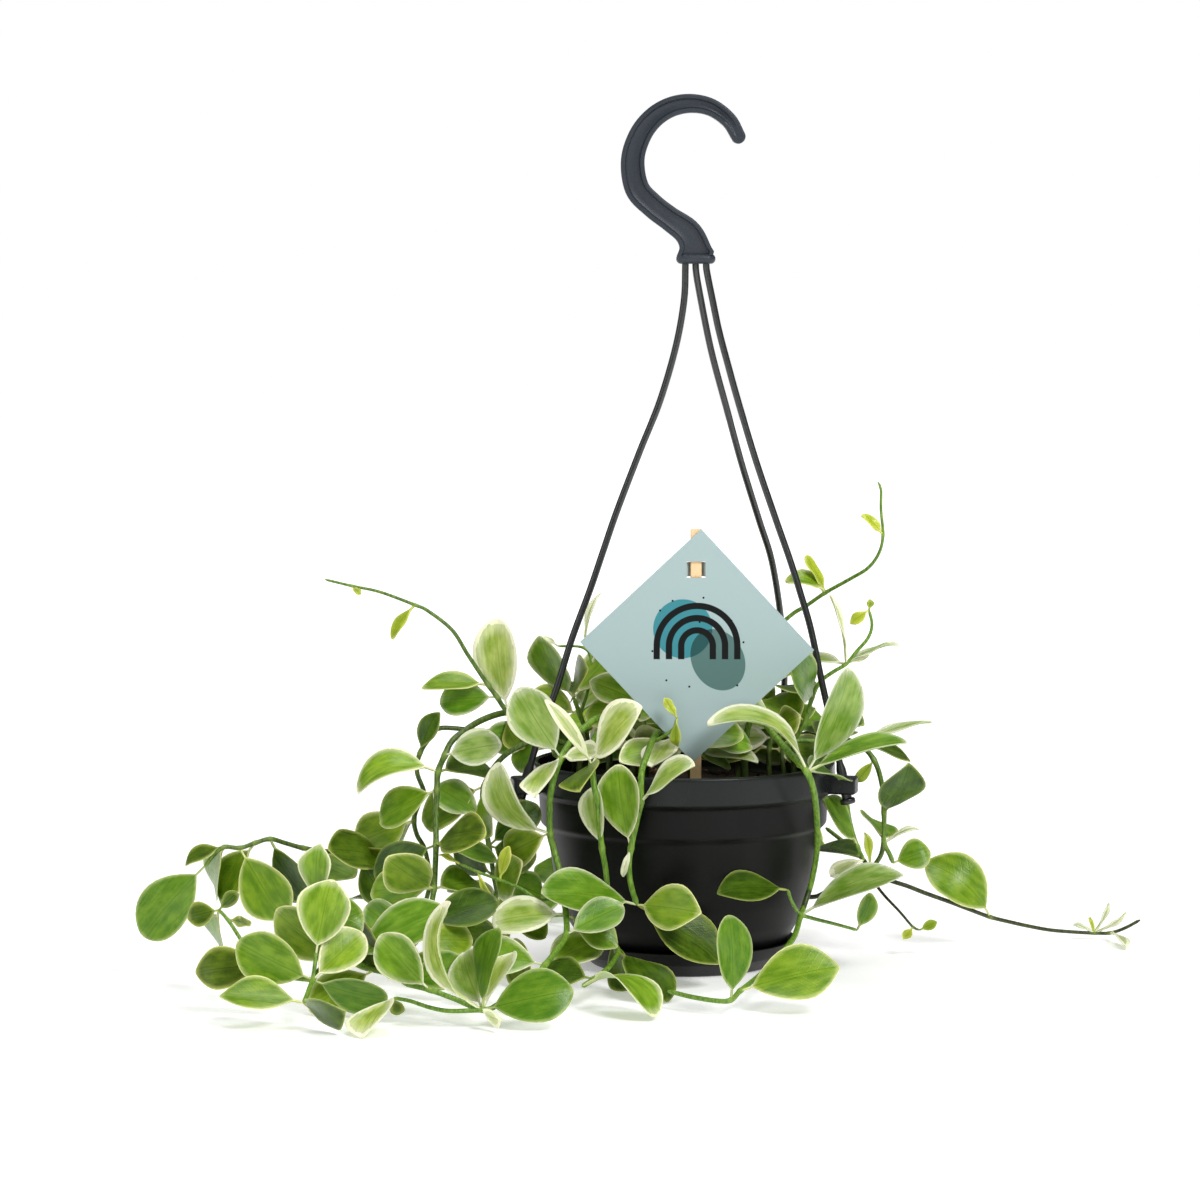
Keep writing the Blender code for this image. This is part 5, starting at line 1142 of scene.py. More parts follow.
def leaf_group():
    """A variegated blade: streaked greens, a pale midrib, a ragged cream margin and a paler under side."""
    graph, given, result = new_group("leaf_blade", [
        ("Dark", "NodeSocketColor", (0.1, 0.3, 0.05, 1.0)),
        ("Light", "NodeSocketColor", (0.3, 0.5, 0.1, 1.0)),
        ("Cream", "NodeSocketColor", (0.8, 0.9, 0.7, 1.0)),
        ("Under", "NodeSocketColor", (0.4, 0.5, 0.3, 1.0)),
        ("Margin", "NodeSocketFloat", 1.0), ("Ragged", "NodeSocketFloat", 1.0),
    ], [("Colour", "NodeSocketColor"), ("Rough", "NodeSocketFloat"), ("Height", "NodeSocketFloat")])
    across, along, rim, under, tone = [graph.attribute(name) for name in LEAF_MARKS]
    from_rib = graph.math("ABSOLUTE", across)
    place = graph.vector(across, along, graph.math("MULTIPLY", tone, 90.0))
    streaks = graph.noise(graph.scaled(place, (0.75, 0.07, 1.0)), 1.0, 4.0, 0.65)
    clouds = graph.noise(graph.scaled(place, (0.26, 0.14, 1.0)), 1.0, 3.0)
    cells = graph.noise(place, 1.9, 2.0)
    side_veins = leaf_side_veins(graph, from_rib, along, clouds)
    green = leaf_green(graph, given, from_rib, streaks, clouds, side_veins)
    cream = leaf_margin(graph, given, rim, tone, streaks)
    colour = graph.mix(cream, green, given["Cream"])
    colour = graph.mix(graph.math("MULTIPLY", under, 0.6), colour, given["Under"])
    tint = graph.add("ShaderNodeHueSaturation")
    graph.wire(graph.math("ADD", graph.math("MULTIPLY", tone, 0.34), 0.8), tint.inputs["Value"])
    graph.wire(graph.math("ADD", graph.math("MULTIPLY", tone, -0.03), 0.515), tint.inputs["Hue"])
    graph.wire(colour, tint.inputs["Color"])
    graph.wire(tint.outputs["Color"], result["Colour"])
    graph.wire(graph.math("ADD", graph.math("MULTIPLY", streaks, 0.2), 0.2), result["Rough"])
    relief = graph.math("ADD", graph.math("MULTIPLY", cells, 0.5), graph.math("MULTIPLY", streaks, 0.8))
    graph.wire(graph.math("ADD", relief, graph.math("MULTIPLY", side_veins, 4.0)), result["Height"])
    return graph.tree


def leaf_material(kind, group):
    """One kind of leaf: waxy, and a little light passes through it."""
    dark, light, cream, margin, ragged = LEAF_LOOKS[kind]
    made, graph, shader = new_material("leaf_" + kind, roughness=0.36, specular=0.28)
    look = use_group(graph, group, Dark=srgb(*dark), Light=srgb(*light), Cream=srgb(*cream),
                     Under=srgb(*UNDER_GREEN), Margin=margin, Ragged=ragged)
    graph.wire(look["Colour"], shader["Base Color"])
    graph.wire(look["Rough"], shader["Roughness"])
    graph.wire(graph.bump(look["Height"], 0.00012), shader["Normal"])
    shader["Subsurface Weight"].default_value = 0.18
    shader["Subsurface Radius"].default_value = (0.5, 1.0, 0.2)
    shader["Subsurface Scale"].default_value = 0.0012
    return made


def stem_material():
    """Stems: bright green where young, olive to near black where old or in painted shade low inside the pot,
    pale at the joints.
    """
    made, graph, shader = new_material("stem", roughness=0.42, specular=0.4)
    dark, joint = [graph.attribute(name) for name in STEM_MARKS]
    streaks = graph.noise(graph.scaled(graph.place(), (1.2, 1.2, 0.3)), 1.0, 3.0)
    streaked = graph.rise(streaks, 0.35, 0.65)
    colour = graph.mix(dark, graph.tones(streaked, STEM_GREENS), graph.tones(streaked, OLD_WOODS))
    colour = graph.mix(graph.math("MULTIPLY", joint, 0.4), colour, srgb(*JOINT_GREEN))
    graph.wire(colour, shader["Base Color"])
    graph.wire(graph.math("ADD", graph.math("MULTIPLY", streaks, 0.25), 0.3), shader["Roughness"])
    graph.wire(graph.bump(streaks, 0.0001), shader["Normal"])
    return made


def disc(graph, x, y, centre, radii, turn=0.0):
    """How far a point of the print is from an oval's middle, as a share of its reach."""
    across = graph.math("SUBTRACT", x, centre[0])
    upward = graph.math("SUBTRACT", y, centre[1])
    cosine, sine = math.cos(turn), math.sin(turn)
    first = graph.math("ADD", graph.math("MULTIPLY", across, cosine),
                       graph.math("MULTIPLY", upward, sine))
    second = graph.math("SUBTRACT", graph.math("MULTIPLY", upward, cosine),
                        graph.math("MULTIPLY", across, sine))
    first = graph.math("POWER", graph.math("ABSOLUTE", graph.math("DIVIDE", first, radii[0])), 2.0)
    second = graph.math("POWER", graph.math("ABSOLUTE", graph.math("DIVIDE", second, radii[1])), 2.0)
    return graph.math("SQRT", graph.math("ADD", first, second))


def line(graph, distance, half_width):
    """A stroke of ink along the zero of a distance in millimetres."""
    return graph.rise(graph.math("ABSOLUTE", distance), half_width - PRINT_BLUR, half_width + PRINT_BLUR,
                      1.0, 0.0)


def print_ovals(graph, x, y, paper):
    """The paper's colour with two ovals on it, darker where they overlap."""
    sun = graph.rise(disc(graph, x, y, *PRINT_SUN), 0.99, 1.01, 1.0, 0.0)
    shade = graph.rise(disc(graph, x, y, *PRINT_SHADE, PRINT_SHADE_TURN), 0.99, 1.01, 1.0, 0.0)
    colour = graph.mix(sun, paper, srgb(*SUN_TEAL))
    colour = graph.mix(graph.math("MULTIPLY", shade, 0.86), colour, srgb(*SHADE_TEAL))
    both = graph.math("MULTIPLY", sun, shade)
    return graph.mix(graph.math("MULTIPLY", both, 0.7), colour, srgb(*BOTH_TEAL))


def print_ink(graph, x, y):
    """Where the ink lies: nested arches that end on a level foot, and a few dots."""
    ink = 0.0
    reach = graph.math("SQRT", graph.math("ADD", graph.math("POWER", graph.math("ABSOLUTE", x), 2.0),
                                          graph.math("POWER", graph.math("MAXIMUM", y, 0.0), 2.0)))
    for radius in PRINT_ARCHES:
        ink = graph.math("MAXIMUM", ink, line(graph, graph.math("SUBTRACT", reach, radius), PRINT_STROKE))
    ink = graph.math("MULTIPLY", ink, graph.rise(y, PRINT_FOOT - PRINT_BLUR, PRINT_FOOT + PRINT_BLUR))
    for spot in PRINT_DOTS:
        dot = graph.rise(disc(graph, x, y, spot, PRINT_DOT), 0.85, 1.15, 1.0, 0.0)
        ink = graph.math("MAXIMUM", ink, dot)
    return ink


def card_material():
    """A satin card with two overlapping ovals, three nested arches in ink and a few dots."""
    made, graph, shader = new_material("printed_card", roughness=0.46, specular=0.15)
    centre = front(*CARD_CENTRE)
    place = graph.place()
    x, depth, z = graph.split(place)
    x = graph.math("SUBTRACT", x, centre.x)
    y = graph.math("SUBTRACT", z, centre.z)
    fibres = graph.noise(place, 3.5, 3.0)
    paper = graph.tones(fibres, PAPER_TONES)
    printed = graph.mix(print_ink(graph, x, y), print_ovals(graph, x, y, paper), srgb(*PRINT_INK))
    is_front = graph.rise(depth, centre.y - 0.1, centre.y, 1.0, 0.0)
    graph.wire(graph.mix(is_front, srgb(*CARD_BACK), printed), shader["Base Color"])
    graph.wire(graph.math("ADD", graph.math("MULTIPLY", fibres, 0.12), 0.36), shader["Roughness"])
    graph.wire(graph.bump(fibres, 0.00002), shader["Normal"])
    return made


def wood_material():
    """Light wood with a grain along the stick."""
    made, graph, shader = new_material("light_wood", roughness=0.62, specular=0.3)
    place = graph.place()
    fibres = graph.noise(graph.scaled(place, (2.6, 2.6, 0.1)), 1.0, 5.0, 0.7)
    pores = graph.rise(graph.noise(graph.scaled(place, (5.0, 5.0, 0.35)), 1.0, 2.0), 0.6, 0.72)
    colour = graph.tones(fibres, WOOD_TONES)
    colour = graph.mix(graph.math("MULTIPLY", pores, 0.5), colour, srgb(*WOOD_PORES))
    graph.wire(colour, shader["Base Color"])
    graph.wire(graph.math("ADD", graph.math("MULTIPLY", fibres, 0.2), 0.5), shader["Roughness"])
    graph.wire(graph.bump(fibres, 0.00012), shader["Normal"])
    return made


def soil_material(name, share_of_bark):
    """Peat with bits of bark: dark brown to orange by a tone on each crumb."""
    made, graph, shader = new_material(name, 0.9, 0.2)
    tone = graph.attribute("crumb_tone")
    grain = graph.noise(graph.place(), 0.9, 6.0, 0.7)
    is_bark = graph.rise(tone, 1.0 - share_of_bark, 1.02 - share_of_bark)
    colour = graph.mix(is_bark, graph.tones(grain, PEAT_TONES), graph.tones(grain, BARK_TONES))
    graph.wire(colour, shader["Base Color"])
    graph.wire(graph.math("ADD", graph.math("MULTIPLY", grain, 0.2), 0.75), shader["Roughness"])
    graph.wire(graph.bump(grain, 0.0006), shader["Normal"])
    return made


def linked_object(name, data):
    """An object for a mesh, a light or a camera, put in the scene."""
    made = bpy.data.objects.new(name, data)
    bpy.context.scene.collection.objects.link(made)
    return made


def new_object(name, verts, faces):
    """An object from points in millimetres, with its faces turned outwards."""
    mesh = bpy.data.meshes.new(name)
    mesh.from_pydata([tuple(value * MM for value in point) for point in verts], [], faces)
    cage = bmesh.new()
    cage.from_mesh(mesh)
    bmesh.ops.recalc_face_normals(cage, faces=cage.faces)
    cage.to_mesh(mesh)
    cage.free()
    mesh.shade_smooth()
    mesh.set_sharp_from_angle(angle=SHARP_EDGE)
    return linked_object(name, mesh)


def finish_piece(piece, material, node):
    """Give a piece its material and body, and hide the solid that it stands for."""
    if material:
        piece.data.materials.append(material)
    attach(piece, "root")
    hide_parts(node)


def rounded(profile, reach):
    """A profile with each inner corner eased over a reach in millimetres."""
    points = [Vector(point) for point in profile]
    eased = [points[0]]
    for before, corner, after in zip(points, points[1:], points[2:]):
        into = min(reach, (corner - before).length * 0.45)
        out = min(reach, (after - corner).length * 0.45)
        start = corner + (before - corner).normalized() * into
        stop = corner + (after - corner).normalized() * out
        for step in range(5):
            t = step / 4
            eased.append(start * (1 - t) ** 2 + corner * (2 * t * (1 - t)) + stop * t * t)
    eased.append(points[-1])
    return eased


def turned(profile, steps=TURN_STEPS):
    """Points and faces of a solid turned from a closed profile that starts and ends on the axis."""
    inner = profile[1:-1]
    verts = [(0.0, 0.0, profile[0][1]), (0.0, 0.0, profile[-1][1])]
    faces = []
    for step in range(steps):
        angle = 2 * math.pi * step / steps
        verts += [(point[0] * math.cos(angle), point[0] * math.sin(angle), point[1]) for point in inner]
    size = len(inner)
    for step in range(steps):
        here = 2 + step * size
        after = 2 + (step + 1) % steps * size
        faces += [(here + row, after + row, after + row + 1, here + row + 1) for row in range(size - 1)]
        faces += [(0, after, here), (1, here + size - 1, after + size - 1)]
    return verts, faces


def soft_block(size, matrix, edge):
    """A box with rounded edges, in millimetres, as points and faces."""
    cage = bmesh.new()
    bmesh.ops.create_cube(cage, size=1.0, matrix=matrix @ Matrix.Diagonal((*size, 1.0)))
    bmesh.ops.bevel(cage, geom=cage.edges[:], offset=edge, segments=3, profile=0.5, affect="EDGES")
    cage.verts.ensure_lookup_table()
    verts = [tuple(vert.co) for vert in cage.verts]
    faces = [tuple(vert.index for vert in face.verts) for face in cage.faces]
    cage.free()
    return verts, faces


def joined(parts):
    """Several sets of points and faces as one."""
    verts, faces = [], []
    for more_verts, more_faces in parts:
        first = len(verts)
        verts += list(more_verts)
        faces += [tuple(first + corner for corner in face) for face in more_faces]
    return verts, faces


def band_faces(rings, sides):
    """Four-cornered faces between rings of points that each close on themselves."""
    faces = []
    for ring in range(rings - 1):
        for side in range(sides):
            here, beside = ring * sides + side, ring * sides + (side + 1) % sides
            faces.append((here, beside, beside + sides, here + sides))
    return faces


def capped(rings, sides):
    """The faces of a tube of rings with a flat face at each end."""
    last = rings * sides
    return band_faces(rings, sides) + [tuple(reversed(range(sides))), tuple(range(last - sides, last))]


def spread(values, knots):
    """Values given at knots, filled in evenly for every sample between them."""
    filled = []
    for low, high, start, stop in zip(values, values[1:], knots, knots[1:]):
        filled += [low + (high - low) * step / (stop - start) for step in range(stop - start)]
    return filled + [values[-1]]


def smooth_tube(samples, radii, sides):
    """A tube along samples with pointed caps, its frame carried on from ring to ring."""
    verts = []
    across = None
    for index, (sample, radius) in enumerate(zip(samples, radii)):
        along = (samples[min(index + 1, len(samples) - 1)] - samples[max(index - 1, 0)]).normalized()
        if across is None:
            across = along.orthogonal().normalized()
        across = (across - along * across.dot(along)).normalized()
        other = along.cross(across)
        for side in range(sides):
            angle = 2 * math.pi * side / sides
            verts.append(sample + (across * math.cos(angle) + other * math.sin(angle)) * radius)
    faces = band_faces(len(samples), sides)
    last = len(verts)
    verts += [samples[0], samples[-1]]
    for side in range(sides):
        beside = (side + 1) % sides
        faces.append((last, beside, side))
        faces.append((last + 1, last - sides + side, last - sides + beside))
    return verts, faces


def make_pot(material):
    """The pot's wall as one turned shell, with a soft block for each lug."""
    wall = rounded(POT_PROFILE[1:] + POT_INSIDE, POT_EASE)
    parts = [turned([POT_PROFILE[0], *wall, (0.0, POT_FLOOR)])]
    for angle in LUG_ANGLES.values():
        turn = Matrix.Rotation(math.radians(angle), 4, "Z")
        place = turn @ Matrix.Translation(Vector((LUG_RADIUS - LUG_INSET, 0.0, LUG_HEIGHT)))
        parts.append(soft_block(LUG_SIZE, place, LUG_EDGE))
    finish_piece(new_object("pot_moulding", *joined(parts)), material, "pot")


def make_saucer(material):
    wall = rounded(SAUCER_PROFILE, SAUCER_EASE)
    shell = turned([(0.0, 0.0), *wall, (0.0, SAUCER_FLOOR)])
    finish_piece(new_object("saucer_dish", *shell), material, "saucer")


def make_legs(material):
    """Each leg as a round strand that thickens below its lug and ends in a stop."""
    for name in LUG_ANGLES:
        points = leg_points(name)
        samples, _ = curved(points, LEG_FINE_SPACING)
        ends = [(points[-3] - points[-1]).length - (sample - points[-1]).length for sample in samples]
        radii = [LEG_RADIUS + (LEG_END_RADIUS - LEG_RADIUS) * min(1.0, max(0.0, end / LEG_THICKENING))
                 for end in ends]
        way = (points[-2] - points[-1]).normalized()
        stop = [points[-1] + way * height for height, _ in STOP_DRAWN_IN]
        stop_radii = [STOP_RADIUS - drawn_in for _, drawn_in in STOP_DRAWN_IN]
        parts = [smooth_tube(samples, radii, LEG_SIDES), smooth_tube(stop, stop_radii, STOP_SIDES)]
        piece = new_object(f"leg_{name}_strand", *joined(parts))
        finish_piece(piece, material, "leg_" + name)


def hook_section(half, recess):
    """The hook's section: across in its own plane, and through it, as a ring of points."""
    depth = HOOK_THICKNESS / 2
    ease = min(HOOK_EDGE, half * 0.5)
    floor = depth - recess
    web = max(half - HOOK_RIB, 0.05)
    slope = min(HOOK_SLOPE, web * 0.5)
    quarter = [(half, depth - ease),
               (half - 0.15 * ease, depth - ease * 0.45), (half - 0.5 * ease, depth - ease * 0.12),
               (half - ease, depth), (web + slope, depth), (web + 0.3 * slope, depth - 0.25 * recess),
               (web - 0.3 * slope, floor + 0.12 * recess), (web - slope, floor)]
    upper = quarter + [(-x, y) for x, y in reversed(quarter)]
    return upper + [(-x, -y) for x, y in upper]


def hook_rings():
    """The hook's rings from tip to base, as (centre, half width, depth of the recess)."""
    samples, knots = curved([Vector((x, 0.0, z)) for x, z, _ in HOOK_LINE], HOOK_SPACING)
    widths = spread([width for _, _, width in HOOK_LINE], knots)
    foot = BASE_CENTRE[2] + BASE_SIZE[2] / 2
    widths = [width + FOOT_FLARE * max(0.0, 1.0 - abs(sample.z - foot) / FLARE_REACH) ** 2
              for width, sample in zip(widths, samples)]
    tip = samples[0]
    outward = (samples[0] - samples[1]).normalized()
    reach = widths[0] / 2
    rings = [(tip + outward * reach * share, reach * math.sqrt(1 - share * share), 0.0)
             for share in HOOK_CAP]
    for index, (sample, width) in enumerate(zip(samples, widths)):
        rings.append((sample, width / 2, HOOK_RECESS * min(1.0, index / RECESS_START)))
    return rings


def hook_foot(width, depth, height):
    """The oval foot of the hook with soft edges."""
    rings = [(rise - height / 2, shrink) for rise, shrink in BASE_EDGE]
    rings += [(height / 2 - rise, shrink) for rise, shrink in reversed(BASE_EDGE)]
    verts = []
    for rise, shrink in rings:
        radius = depth / 2 - shrink
        for step in range(BASE_STEPS):
            angle = 2 * math.pi * step / BASE_STEPS
            shift = math.copysign((width - depth) / 2, math.cos(angle))
            spot = Vector((shift + radius * math.cos(angle), radius * math.sin(angle), rise))
            verts.append(Vector(BASE_CENTRE) + spot)
    return verts, capped(len(rings), BASE_STEPS)


def make_hook(material):
    """The crook swept along its rings, on its oval foot."""
    rings = hook_rings()
    verts = []
    for index, (centre, half, recess) in enumerate(rings):
        along = rings[min(index + 1, len(rings) - 1)][0] - rings[max(index - 1, 0)][0]
        aside = Vector((-along.z, 0.0, along.x)).normalized()
        verts += [centre + aside * x + Vector((0.0, y, 0.0)) for x, y in hook_section(half, recess)]
    crook = (verts, capped(len(rings), len(verts) // len(rings)))
    piece = new_object("hook_moulding", *joined([crook, hook_foot(*BASE_SIZE)]))
    finish_piece(piece, material, "hook")


class FineBlade:
    """A leaf's fine closed skin in its pose, with the values that its colours are painted by."""

    def __init__(self, blade, draw):
        self.blade = blade
        self.wave = draw.uniform(*WAVE_HEIGHT)
        self.turns = draw.uniform(*WAVE_TURNS)
        self.start = draw.uniform(*WAVE_START)
        self.curl = draw.uniform(*TIP_CURL)
        self.pointed = draw.uniform(*TIP_POINTED)
        self.verts = []
        self.marks = []
        self.grid = {}
        blade_part = [STALK_SHARE + share * (1.0 - STALK_SHARE) for share in BLADE_STATIONS]
        self.stations = [*STALK_STATIONS, *blade_part]
        for row, x in enumerate(self.stations):
            self.add_row(row, x)
        centre, facing = blade.frame(1.0)
        self.tip = self.put(centre - facing * self.curl, 0.0, blade.length, 0.0, 0.5)

    def put(self, point, across, along, rim, under):
        point.z = max(point.z, FINE_LOWEST)
        self.verts.append(point)
        self.marks.append((across, along, rim, under))
        return len(self.verts) - 1

    def lift(self, x, half, share, bladed):
        """How far the middle of the blade stands off its plane: its cup, its wave and its curled tip."""
        skew = WAVE_SKEW if share > 0 else 0.0
        ripple = self.wave * share * share * math.sin(self.turns * FULL_TURN * x + self.start + skew)
        bend = -self.curl * max(0.0, (x - CURL_START) / (1.0 - CURL_START)) ** 2
        return CUP[self.blade.kind[0]] * half * share * share + (ripple + bend) * bladed

    def add_row(self, row, x):
        """The points of both faces at a share of the length, which share the rim's."""
        narrowed = self.pointed * max(0.0, (x - TIP_START) / (1.0 - TIP_START)) ** 2
        half = self.blade.half(x, FINE_HALF_WIDTH) * (1.0 - narrowed)
        centre, facing = self.blade.frame(x)
        along = x * self.blade.length
        stalk = 1.0 - min(1.0, max(0.0, (x - STALK_SHARE) / STALK_BLEND))
        bladed = 1.0 - stalk
        for column, share in enumerate(COLUMNS):
            across = half * share
            middle = centre + self.blade.side * across + facing * self.lift(x, half, share, bladed)
            rim = min(half - abs(across), (1.0 - x) * self.blade.length * 0.8)
            if column in (0, len(COLUMNS) - 1) or row == 0:
                spot = self.put(middle, across, along, rim, 0.5)
                self.grid[0, row, column] = self.grid[1, row, column] = spot
                continue
            round_off = math.sqrt(max(0.0, 1.0 - abs(share) ** (2.0 + 4.0 * bladed)))
            thick = (LEAF_THICKNESS * (BLADE_FULLNESS + STALK_FULLNESS * stalk)) * round_off / 2
            groove = GROOVE_DEPTH * math.exp(-(across / GROOVE_WIDTH) ** 2) * bladed
            top = middle + facing * (thick - groove)
            low = middle - facing * (thick + groove * 1.2)
            self.grid[0, row, column] = self.put(top, across, along, rim, 0.0)
            self.grid[1, row, column] = self.put(low, across, along, rim, 1.0)

    def faces(self):
        """Both faces of the skin, which meet at the rim and at the tip."""
        faces = []
        last_row, last_column = len(self.stations) - 1, len(COLUMNS) - 1
        for side in (0, 1):
            for row in range(last_row):
                for column in range(last_column):
                    corners = [self.grid[side, row, column], self.grid[side, row, column + 1],
                               self.grid[side, row + 1, column + 1], self.grid[side, row + 1, column]]
                    faces.append(tuple(corners if side == 0 else corners[::-1]))
            for column in range(last_column):
                corners = [self.grid[side, last_row, column], self.grid[side, last_row, column + 1],
                           self.tip]
                faces.append(tuple(corners if side == 0 else corners[::-1]))
        return faces


def stem_joints(samples, spots):
    """How near each sample is to a joint, from 0 to 1."""
    shares = []
    for sample in samples:
        nearest = min(((sample - spot).length for spot in spots), default=99.0)
        shares.append(max(0.0, 1.0 - nearest / JOINT_REACH))
    return shares


def fine_stem(samples, radii, spots):
    """A smooth stem with swollen joints: points, faces, and each ring's share of age and of joint."""
    smooth, knots = curved(samples, FINE_SPACING)
    joints = stem_joints(smooth, spots)
    widths = [width * (1.0 + JOINT_SWELL * joint) for width, joint in zip(spread(radii, knots), joints)]
    widths[-1] *= STEM_TIP
    ages = [1.0 - index / (len(smooth) - 1) for index in range(len(smooth))]
    return *smooth_tube(smooth, widths, STEM_SIDES), ages, joints


def root_shade(spot):
    """How dark a stem is painted for standing low inside the pot's lip: painted shade inside the pot, where
    the wood is also old.
    """
    if math.hypot(spot.x, spot.y) > LIP_RADIUS - ROOT_INSET:
        return 0.0
    return min(ROOT_SHADE_DARKNESS, max(0.0, (ROOT_TOP - spot.z) / ROOT_FADE))


def ring_marks(vine, verts, ages, joints):
    """The values of a fine stem's points: how dark its wood is, with painted shade low inside the pot, and
    how near a joint.
    """
    old, young = STEM_DARKNESS.get(vine, YOUNG_STEM)
    rings = []
    for index, (age, joint) in enumerate(zip(ages, joints)):
        # Darkness is the wood's age or the painted shade inside the pot, whichever is darker
        dark = max(young + (old - young) * age, root_shade(verts[index * STEM_SIDES]))
        rings += [(*[0.0] * len(LEAF_MARKS), dark, joint)] * STEM_SIDES
    return rings + [rings[0], rings[-1]]


def make_vine(vine, stems, poses, materials):
    """One vine with its stems and fine leaves as one piece."""
    parts, slots, marks = [], [], []
    bases = [pose[0] for pose in poses]
    for samples, radii, _ in stems:
        verts, faces, ages, joints = fine_stem(samples, radii, bases)
        parts.append((verts, faces))
        slots += [0] * len(faces)
        marks += ring_marks(vine, verts, ages, joints)
    for index, pose in enumerate(poses):
        draw = Random(f"{vine}_{index}")
        tone = draw.random()
        blade = Blade(*pose)
        skin = FineBlade(blade, draw)
        faces = skin.faces()
        parts.append((skin.verts, faces))
        slots += [1 + KINDS.index(blade.kind[0])] * len(faces)
        marks += [(*mark, tone, *[0.0] * len(STEM_MARKS)) for mark in skin.marks]
    piece = new_object(vine + "_growth", *joined(parts))
    for column, name in enumerate(LEAF_MARKS + STEM_MARKS):
        layer = piece.data.attributes.new(name, "FLOAT", "POINT")
        layer.data.foreach_set("value", [mark[column] for mark in marks])
    for material in materials:
        piece.data.materials.append(material)
    piece.data.polygons.foreach_set("material_index", slots)
    finish_piece(piece, None, vine)


def strewn_chips(graph, given, chip):
    """Chips on random points of the given surface, each with its own size and turn."""
    spread_out = graph.add("GeometryNodeDistributePointsOnFaces")
    graph.wire(given["Geometry"], spread_out.inputs["Mesh"])
    graph.wire(given["Density"], spread_out.inputs["Density"])
    graph.wire(given["Seed"], spread_out.inputs["Seed"])
    shape = graph.add("GeometryNodeObjectInfo")
    shape.inputs["Object"].default_value = chip
    size = graph.add("FunctionNodeRandomValue", data_type="FLOAT")
    graph.wire(given["Smallest"], size.inputs[2])
    graph.wire(given["Largest"], size.inputs[3])
    turn = graph.add("FunctionNodeRandomValue", data_type="FLOAT_VECTOR")
    for value, socket in zip(CHIP_TURNS, turn.inputs):
        socket.default_value = value
    place = graph.add("GeometryNodeInstanceOnPoints")
    graph.wire(spread_out.outputs["Points"], place.inputs["Points"])
    graph.wire(shape.outputs["Geometry"], place.inputs["Instance"])
    graph.wire(turn.outputs[0], place.inputs["Rotation"])
    graph.wire(size.outputs[1], place.inputs["Scale"])
    return place.outputs["Instances"]


def scatter_tree(name, chip, material):
    """A tree that scatters chips over a surface, by density, size and seed, each with a tone of its own."""
    tree = bpy.data.node_groups.new(name, "GeometryNodeTree")
    tree.interface.new_socket("Geometry", in_out="INPUT", socket_type="NodeSocketGeometry")
    tree.interface.new_socket("Geometry", in_out="OUTPUT", socket_type="NodeSocketGeometry")
    for label, kind, value in (("Density", "NodeSocketFloat", 1.0), ("Smallest", "NodeSocketFloat", 1.0),
                               ("Largest", "NodeSocketFloat", 2.0), ("Seed", "NodeSocketInt", 1)):
        socket = tree.interface.new_socket(label, in_out="INPUT", socket_type=kind)
        socket.default_value = value
    graph = Graph(tree)
    given = graph.add("NodeGroupInput").outputs
    tone = graph.add("FunctionNodeRandomValue", data_type="FLOAT")
    tone.inputs["Seed"].default_value = 7
    store = graph.add("GeometryNodeStoreNamedAttribute", data_type="FLOAT", domain="INSTANCE")
    store.inputs["Name"].default_value = "crumb_tone"
    graph.wire(strewn_chips(graph, given, chip), store.inputs["Geometry"])
    graph.wire(tone.outputs[1], store.inputs["Value"])
    real = graph.add("GeometryNodeRealizeInstances")
    graph.wire(store.outputs["Geometry"], real.inputs["Geometry"])
    paint = graph.add("GeometryNodeSetMaterial")
    paint.inputs["Material"].default_value = material
    graph.wire(real.outputs["Geometry"], paint.inputs["Geometry"])
    graph.wire(paint.outputs["Geometry"], graph.add("NodeGroupOutput").inputs["Geometry"])
    return tree


def chip_object(name, size, points):
    """One rough flat chip, made from a few points thrown on an oval."""
    draw = Random(name)
    cage = bmesh.new()
    for _ in range(points):
        way = Vector((draw.uniform(-1, 1), draw.uniform(-1, 1), draw.uniform(-1, 1))).normalized()
        cage.verts.new(Vector((way.x * size[0], way.y * size[1], way.z * size[2])) * MM / 2)
    bmesh.ops.convex_hull(cage, input=cage.verts)
    mesh = bpy.data.meshes.new(name)
    cage.to_mesh(mesh)
    cage.free()
    return linked_object(name, mesh)


def soil_mound():
    """The soil's low mound inside the rim, as a surface to strew chips on."""
    verts, faces = turned([Vector(ring) for ring in [*SOIL_MOUND, (0.0, SOIL_TOP - 3.0)]], MOUND_STEPS)
    under = 1
    mesh = bpy.data.meshes.new("mound")
    mesh.from_pydata([tuple(value * MM for value in point) for point in verts], [],
                     [face for face in faces if under not in face])
    return linked_object("mound", mesh)


def make_crumbs(name, material):
    """Bark or peat strewn over the soil inside the rim, as one plain mesh."""
    size, points, density, (smallest, largest), seed = CRUMBS[name]
    values = {"Density": density, "Smallest": smallest, "Largest": largest, "Seed": seed}
    host = soil_mound()
    chip = chip_object(name + "_chip", size, points)
    tree = scatter_tree(name + "_scatter", chip, material)
    modifier = host.modifiers.new("scatter", "NODES")
    modifier.node_group = tree
    for item in tree.interface.items_tree:
        if item.in_out == "INPUT" and item.name in values:
            modifier[item.identifier] = values[item.name]
    graph = bpy.context.evaluated_depsgraph_get()
    mesh = bpy.data.meshes.new_from_object(host.evaluated_get(graph))
    for helper in (host, chip):
        bpy.data.objects.remove(helper, do_unlink=True)
    piece = linked_object(name, mesh)
    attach(piece, "root")


def paint_node(node, material):
    """Give a solid that is shown as it is its one material."""
    node.data.materials.clear()
    node.data.materials.append(material)


